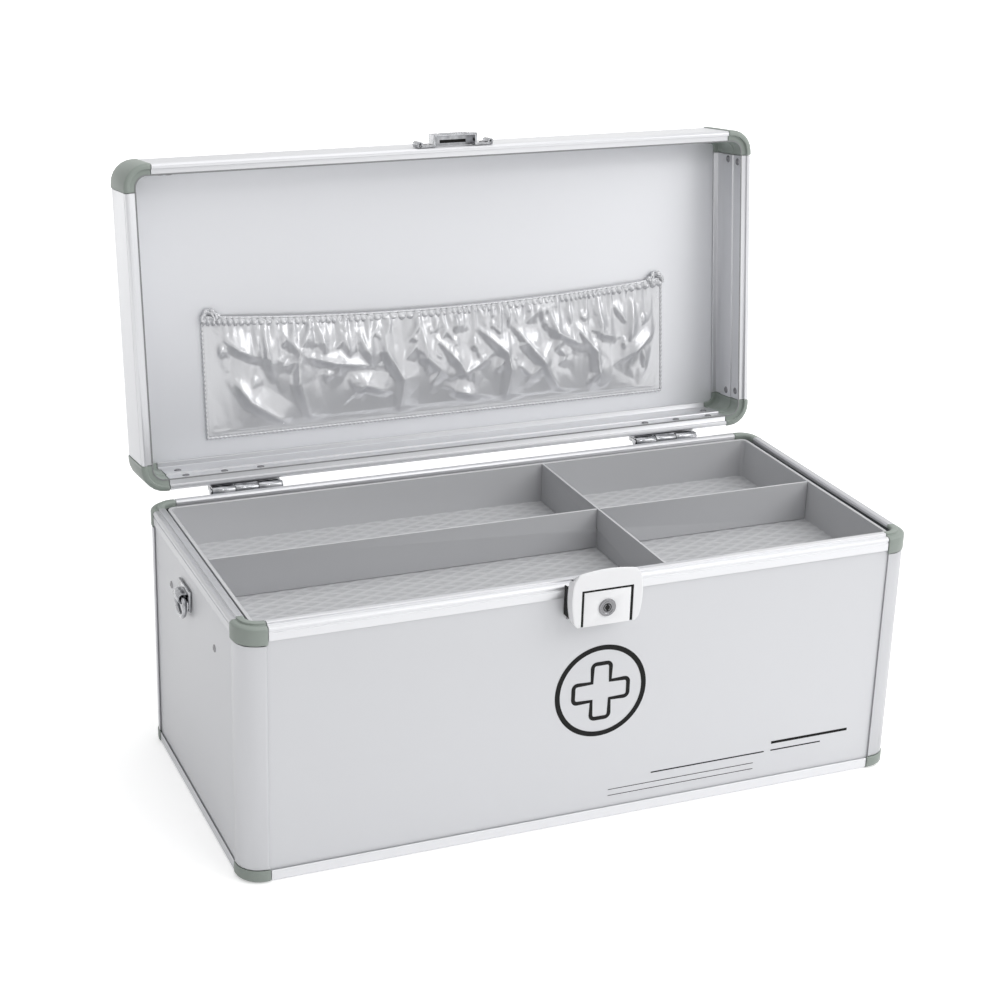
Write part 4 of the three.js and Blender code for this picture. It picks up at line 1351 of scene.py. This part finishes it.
class CASE_OT_dark_strips(bpy.types.Operator):
    """Add the dark strip painted as shade in the lid's recess, and the dark band round the tray"""

    bl_idname = "case.seals"
    bl_label = "Dark Strips"

    def execute(self, context):
        given = context.scene.case_finish
        lid_strip = rim_strip("lid_groove_shade_strip", LID_SHADE_DEPTHS, LID_SHADE_HEIGHTS)
        lid_strip.transform(lid_matrix())
        recess_shade = dark_strip_material("lid_groove_shade_grey", given.lid_groove_shade)
        add_piece("lid_groove_shade_strip", lid_strip, "lid", recess_shade, smooth=False)
        tray_strip = rim_strip("tray_band_strip", TRAY_BAND_DEPTHS, TRAY_BAND_HEIGHTS)
        middle = sum(TRAY_BAND_HEIGHTS) / 2
        for vertex in tray_strip.vertices:
            if vertex.co.z > middle:
                vertex.co.z -= TRAY_BAND_DROP * ramp(vertex.co.y, DROP_START, DROP_END)
        tray_band = dark_strip_material("tray_band_dark", given.tray_band)
        add_piece("tray_band_strip", tray_strip, "base", tray_band, smooth=False)
        return {"FINISHED"}


# Fittings


FITTING_EDGE = 0.25 * MM
FINE_EDGE = 0.1 * MM
STEEL_EDGE = 0.2 * MM
GRIP_EDGE = 0.5 * MM
TRAY_EDGE = 0.25 * MM


class CASE_OT_fittings(bpy.types.Operator):
    """Finish the hinges, keeper, strap brackets and rings"""

    bl_idname = "case.fittings"
    bl_label = "Fittings"

    def execute(self, context):
        chrome = chrome_material("chrome_plate", rough=0.16)
        paint(["keeper"] + starting("strap_") + starting("handle_bracket_"), chrome, FITTING_EDGE)
        paint(starting("hinge_"), chrome, FINE_EDGE)
        add_keeper_details(chrome_material("keeper_chrome", rough=0.3))
        # The lock's base is steel, kept dark as painted shade in the gap behind the lock.
        paint(["lock_base", "lock_pin", "lock_spring"], steel_material("lock_steel_and_shade"), STEEL_EDGE)
        return {"FINISHED"}


def boxes_mesh(name, boxes):
    """One mesh of several blocks, each given as low and high corners in mm."""
    quads = ((0, 1, 3, 2), (4, 6, 7, 5), (0, 4, 5, 1), (2, 3, 7, 6), (0, 2, 6, 4), (1, 5, 7, 3))
    blocks = [
        ([Vector(corner) * MM for corner in itertools.product(*zip(low, high))], quads)
        for low, high in boxes
    ]
    return mesh_from(name, *joined(blocks))


def add_plates(name, mesh, body, material):
    """Thin plates with their edges eased."""
    round_edges(add_piece(name, mesh, body, material), FINE_EDGE)


# Details of the keeper in mm, on the closed lid
KEEPER_WALL = ((-11.3, -90.7, 7.7), (11.3, -85.2, 8.6))
# A black block painted as the shade in the keeper's slot
KEEPER_SLOT_SHADE = ((-6.5, -88.3, 7.5), (8.5, -86.6, 7.8))
ROLL_PLACES = ((-20.2, -87.0), (20.2, -87.0))
ROLL_SECTION = ((1.5, 0.6), (1.6, 0.9), (1.6, 8.5), (1.5, 8.8), (0.8, 8.8), (0.8, 0.6))
ROLL_SIDES = 20


def keeper_rolls():
    """Rolled ends of the keeper's ears: tubes that stand on the lid's rim."""
    section = [(radius * MM, w * MM) for radius, w in ROLL_SECTION]
    places = [Vector((x, y, 0)) * MM for x, y in ROLL_PLACES]
    axes = (ALONG_X, ALONG_Y, ALONG_Z)
    rolls = [turned(section, place, axes, ROLL_SIDES, looped=True) for place in places]
    return mesh_from("keeper_rolls", *joined(rolls))


def add_keeper_details(material):
    """Wall behind the keeper's bridge with a black block painted as the shade in its slot, and the rolled
    ends of its ears.
    """
    wall = boxes_mesh("keeper_back", [KEEPER_WALL])
    shade_slot = boxes_mesh("keeper_slot_shade", [KEEPER_SLOT_SHADE])
    rolls = keeper_rolls()
    placed = lid_matrix()
    for mesh in (wall, shade_slot, rolls):
        mesh.transform(placed)
    add_plates("keeper_back", wall, "lid", material)
    add_plates("keeper_slot_shade", shade_slot, "lid", ink_and_shade_material("slot_shade_black"))
    add_piece("keeper_rolls", rolls, "lid", chrome_material("roll_chrome", rough=0.2))


# Lock


HOUSING_HALF = 19 * MM
HOUSING_ARCH = 2.4 * MM
HOUSING_BOW = 2.3 * MM
HOUSING_MIDDLE = 130 * MM
HOUSING_REACH = 15 * MM
HOUSING_ROUND = 1.3 * MM
BOW_START = 14.2 * MM
ARCH_START = 136 * MM
ARCH_END = 144 * MM
BACK_START = -93.3 * MM
BACK_DROP = 3 * MM
BACK_LOW = 139 * MM
BACK_HIGH = 141 * MM
DOOR_SIDE = 12.5 * MM
DOOR_GAP = 1.0 * MM
DOOR_EDGE = 0.3 * MM
# Places in mm where the housing's faces are cut, so that they can bend
HOUSING_CUTS_X = range(-18, 19, 2)
HOUSING_CUTS_Z = (117, 119, 121, 123, 125, 128, 131, 134, 137, 139, 141, 142.5)
# Corners in mm of the dark strips painted as shade: in the gap round the door, and between the lock's sides
# and the case
GAP_SHADE_BOXES = (
    ((-13.75, -96.25, 115.6), (-12.45, -95.2, 135.9)),
    ((12.45, -96.25, 115.6), (13.75, -95.2, 135.9)),
    ((-13.75, -96.42, 133.4), (13.75, -96.05, 134.6)),
)
SIDE_SHADE_BOXES = [((side - 0.3, -91.4, 118.5), (side + 0.3, -84.9, 133.8)) for side in (-17.4, 17.4)]


def add_housing(material):
    """Lock housing with an arched top and bowed sides."""
    planes = [((x * MM, 0, 0), (1, 0, 0)) for x in HOUSING_CUTS_X]
    planes += [((0, 0, z * MM), (0, 0, 1)) for z in HOUSING_CUTS_Z]
    bm = cut_copy("lock_housing", planes)
    for vertex in bm.verts:
        place = vertex.co
        inward = HOUSING_BOW * ((place.z - HOUSING_MIDDLE) / HOUSING_REACH) ** 2
        inward *= ramp(abs(place.x), BOW_START, HOUSING_HALF)
        place.z -= HOUSING_ARCH * (place.x / HOUSING_HALF) ** 2 * ramp(place.z, ARCH_START, ARCH_END)
        if place.y > BACK_START:
            place.z -= BACK_DROP * ramp(place.z, BACK_LOW, BACK_HIGH)
        place.x -= math.copysign(inward, place.x)
    shaped_piece("lock_cover", "lock_housing", bm, "base", material, HOUSING_ROUND, segments=5)


def add_flap(material):
    """Lock flap, narrowed a little so that the gap round it shows."""
    bm = cut_copy("lock_flap", [])
    for vertex in bm.verts:
        if abs(vertex.co.x) > DOOR_SIDE:
            vertex.co.x -= math.copysign(DOOR_GAP, vertex.co.x)
    shaped_piece("lock_door", "lock_flap", bm, "flap", material, DOOR_EDGE)


def add_lock_shade():
    """Dark strips painted as the shade in the gap round the door and between the lock's sides and the case.
    """
    gap = boxes_mesh("lock_gap_shade", GAP_SHADE_BOXES)
    add_plates("lock_gap_shade", gap, "base", ink_and_shade_material("gap_shade_black"))
    side_shade = boxes_mesh("lock_side_shade", SIDE_SHADE_BOXES)
    add_plates("lock_side_shade", side_shade, "base", ink_and_shade_material("side_shade_black"))


# Radius and depth in mm, from the front of the key cylinder
COLLAR_PROFILE = (
    (4.5, 0.5), (4.5, -0.1), (4.2, -0.35), (3.7, -0.4), (3.1, -0.15), (2.8, 0.15), (2.6, 0.4),
)
FACE_PROFILE = ((2.75, 0.25), (2.5, 0.05), (2.1, -0.02), (1.7, 0.0), (1.5, 0.12))
KEY_SIDES = 40
KEYWAY_HALF = 0.5 * MM
KEYWAY_REACH = 1.9 * MM
KEYWAY_LIFT = 0.03 * MM
BOW_LIFT = 0.005 * MM
BOW_RADIUS = 1.35 * MM
BOW_SIDES = 20


def key_turning(name, profile, material, filled=False):
    """A turned piece on the front of the key cylinder."""
    centre, front = PIVOTS["key_turn"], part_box("key_cylinder")[0].y
    scaled = [(radius * MM, depth * MM) for radius, depth in profile]
    axes = (ALONG_X, ALONG_Z, ALONG_Y)
    form = turned(scaled, Vector((centre.x, front, centre.z)), axes, KEY_SIDES, filled)
    add_piece(name, mesh_from(name, *form), "key", material)


def add_key():
    """Collar of the key cylinder, and its face and keyway painted dark as the shade in the keyhole."""
    key_turning("key_collar", COLLAR_PROFILE, steel_material("key_chrome", rough=0.25))
    key_turning("key_face", FACE_PROFILE, ink_and_shade_material("key_face_shade"), filled=True)
    centre, y = PIVOTS["key_turn"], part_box("key_cylinder")[0].y - KEYWAY_LIFT
    shade_slot = [
        Vector((centre.x + x * KEYWAY_HALF, y, centre.z + z * KEYWAY_REACH))
        for x, z in ((-1, -1), (1, -1), (1, 1), (-1, 1))
    ]
    bow = [
        Vector((centre.x + spoke.x, y - BOW_LIFT, centre.z + spoke.y))
        for spoke in circle_path(BOW_RADIUS, BOW_SIDES)
    ]
    mesh = mesh_from("keyway", shade_slot + bow, [(0, 1, 2, 3), tuple(range(4, 4 + BOW_SIDES))])
    add_piece("keyway", mesh, "key", ink_and_shade_material("keyway_shade_black"), smooth=False)


class CASE_OT_lock(bpy.types.Operator):
    """Make the lock's cover, door, key collar and keyway"""

    bl_idname = "case.lock"
    bl_label = "Lock"

    def execute(self, context):
        material = lock_material()
        add_housing(material)
        add_flap(material)
        add_lock_shade()
        paint(["key_cylinder"], steel_material("key_body"), STEEL_EDGE)
        add_key()
        return {"FINISHED"}


# Handle and tray


class CASE_OT_handle(bpy.types.Operator):
    """Finish the folding handle on the lid"""

    bl_idname = "case.handle"
    bl_label = "Handle"

    def execute(self, context):
        paint(["handle"], grip_material(), GRIP_EDGE)
        return {"FINISHED"}


class CASE_OT_tray(bpy.types.Operator):
    """Finish the lift-out tray and its dividers"""

    bl_idname = "case.tray"
    bl_label = "Tray"

    def execute(self, context):
        paint(["tray", "tray_divider_long", "tray_divider_cross"], tray_material(), TRAY_EDGE)
        return {"FINISHED"}


# Stage


def background_rays(tree):
    """1 for rays that show the background: from the camera, in reflections and through glass."""
    rays = new_node(tree, "LightPath", {}).outputs
    seen = math_node(tree, "MAXIMUM", rays["Is Camera Ray"], rays["Is Transmission Ray"])
    return math_node(tree, "MAXIMUM", seen, rays["Is Glossy Ray"])


def add_floor(given):
    """A floor that the camera sees turn white away from the case."""
    half = given.floor / 2
    corners = [(-half, -half, 0), (half, -half, 0), (half, half, 0), (-half, half, 0)]
    floor = new_object("floor", mesh_from("floor", corners, [(0, 1, 2, 3)]))
    material = bpy.data.materials.new("floor_white")
    material.use_nodes = True
    tree = material.node_tree
    reach = new_node(tree, "VectorMath", {0: object_place(tree)}, operation="LENGTH").outputs["Value"]
    fade = fade_node(tree, reach, (given.glow_near, given.glow_far), (given.floor_glow, 1))
    feed(tree, shader_of(material), {
        "Base Color": (given.floor_white,) * 3 + (1,),
        "Roughness": given.floor_rough,
        "Emission Color": (1, 1, 1, 1),
        "Emission Strength": math_node(tree, "MULTIPLY", background_rays(tree), fade),
    })
    floor.data.materials.append(material)


def light_world(given):
    """White where it is seen, and elsewhere a soft sky, dimmer at the horizon and on the left."""
    world = bpy.context.scene.world or bpy.data.worlds.new("studio")
    bpy.context.scene.world = world
    world.use_nodes = True
    tree = world.node_tree
    seen = background_rays(tree)
    rest = math_node(tree, "SUBTRACT", 1.0, seen)
    place = new_node(tree, "TexCoord", {}).outputs["Generated"]
    parts = new_node(tree, "SeparateXYZ", {0: place}).outputs
    fade = fade_node(tree, parts["Z"], (0, 1), (given.horizon, given.zenith))
    side = math_node(tree, "ADD", math_node(tree, "MULTIPLY", parts["X"], given.slant), 1.0)
    soft = math_node(tree, "MULTIPLY", fade, side)
    strength = math_node(tree, "ADD", seen, math_node(tree, "MULTIPLY", rest, soft))
    feed(tree, tree.nodes["Background"], {"Color": (1, 1, 1, 1), "Strength": strength})


def add_lamp(name, place, size, power):
    lamp = bpy.data.lights.new(name, "AREA")
    lamp.shape = "RECTANGLE"
    lamp.size, lamp.size_y = size
    lamp.energy = power
    holder = new_object(name, lamp)
    holder.location = place
    holder.rotation_mode = "QUATERNION"
    holder.rotation_quaternion = (Vector(LAMP_TARGET) - Vector(place)).to_track_quat("-Z", "Y")


# Place and sides of each lamp in metres, and the place that all of them face
LAMP_TARGET = (0, 0, 0.12)
KEY_LAMP = ((1.5, -1.4, 1.45), (1.4, 1.2))
TOP_LAMP = ((0.2, 0.0, 1.8), (1.8, 1.4))
SPARK_LAMP = ((0.45, -1.9, 1.5), (0.3, 0.3))


def add_lamps(given):
    add_lamp("key_lamp", *KEY_LAMP, given.key)
    add_lamp("top_lamp", *TOP_LAMP, given.top)
    add_lamp("spark_lamp", *SPARK_LAMP, given.spark)


def add_camera(given):
    sy, cy = math.sin(given.yaw), math.cos(given.yaw)
    se, ce = math.sin(given.rise), math.cos(given.rise)
    back = Vector((sy * ce, -cy * ce, se))
    level = (-back).cross(ALONG_Z).normalized()
    upright = level.cross(-back)
    right = math.cos(given.roll) * level + math.sin(given.roll) * upright
    up = math.cos(given.roll) * upright - math.sin(given.roll) * level
    camera = bpy.data.cameras.new("camera")
    camera.lens = given.lens
    camera.sensor_width = given.sensor
    holder = new_object("camera", camera)
    place = right * given.across + up * given.up + back * given.distance
    holder.matrix_world = Matrix((
        (right.x, up.x, back.x, place.x),
        (right.y, up.y, back.y, place.y),
        (right.z, up.z, back.z, place.z),
        (0, 0, 0, 1),
    ))
    bpy.context.scene.camera = holder


class CASE_OT_stage(bpy.types.Operator):
    """Set the floor, the even light, the lamps and the camera"""

    bl_idname = "case.stage"
    bl_label = "Stage"

    def execute(self, context):
        add_floor(context.scene.case_stage)
        light_world(context.scene.case_stage)
        add_lamps(context.scene.case_stage)
        add_camera(context.scene.case_camera)
        context.scene.view_settings.view_transform = "Standard"
        return {"FINISHED"}


OPERATORS = (
    CASE_OT_stage,
    CASE_OT_boards,
    CASE_OT_frame,
    CASE_OT_corners,
    CASE_OT_dark_strips,
    CASE_OT_fittings,
    CASE_OT_lock,
    CASE_OT_handle,
    CASE_OT_tray,
    CASE_OT_pocket,
    CASE_OT_rivets,
    CASE_OT_print,
)


class CASE_PT_panel(bpy.types.Panel):
    """Lists the steps that dress the case"""

    bl_idname = "CASE_PT_panel"
    bl_label = "Medicine Case"
    bl_space_type = "VIEW_3D"
    bl_region_type = "UI"
    bl_category = "Case"

    def draw(self, context):
        for name, settings in SETTINGS.items():
            box = self.layout.box()
            for setting in settings.__annotations__:
                box.prop(getattr(context.scene, name), setting)
        for operator in OPERATORS:
            self.layout.operator(operator.bl_idname)


CLASSES = (*SETTINGS.values(), *OPERATORS, CASE_PT_panel)


def register():
    for cls in CLASSES:
        bpy.utils.register_class(cls)
    for name, settings in SETTINGS.items():
        setattr(bpy.types.Scene, name, PointerProperty(type=settings))


def unregister():
    for name in SETTINGS:
        delattr(bpy.types.Scene, name)
    for cls in reversed(CLASSES):
        bpy.utils.unregister_class(cls)


def main():
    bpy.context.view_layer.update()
    register()
    for operator in OPERATORS:
        group, name = operator.bl_idname.split(".")
        getattr(getattr(bpy.ops, group), name)()


if __name__ == "__main__":
    main()
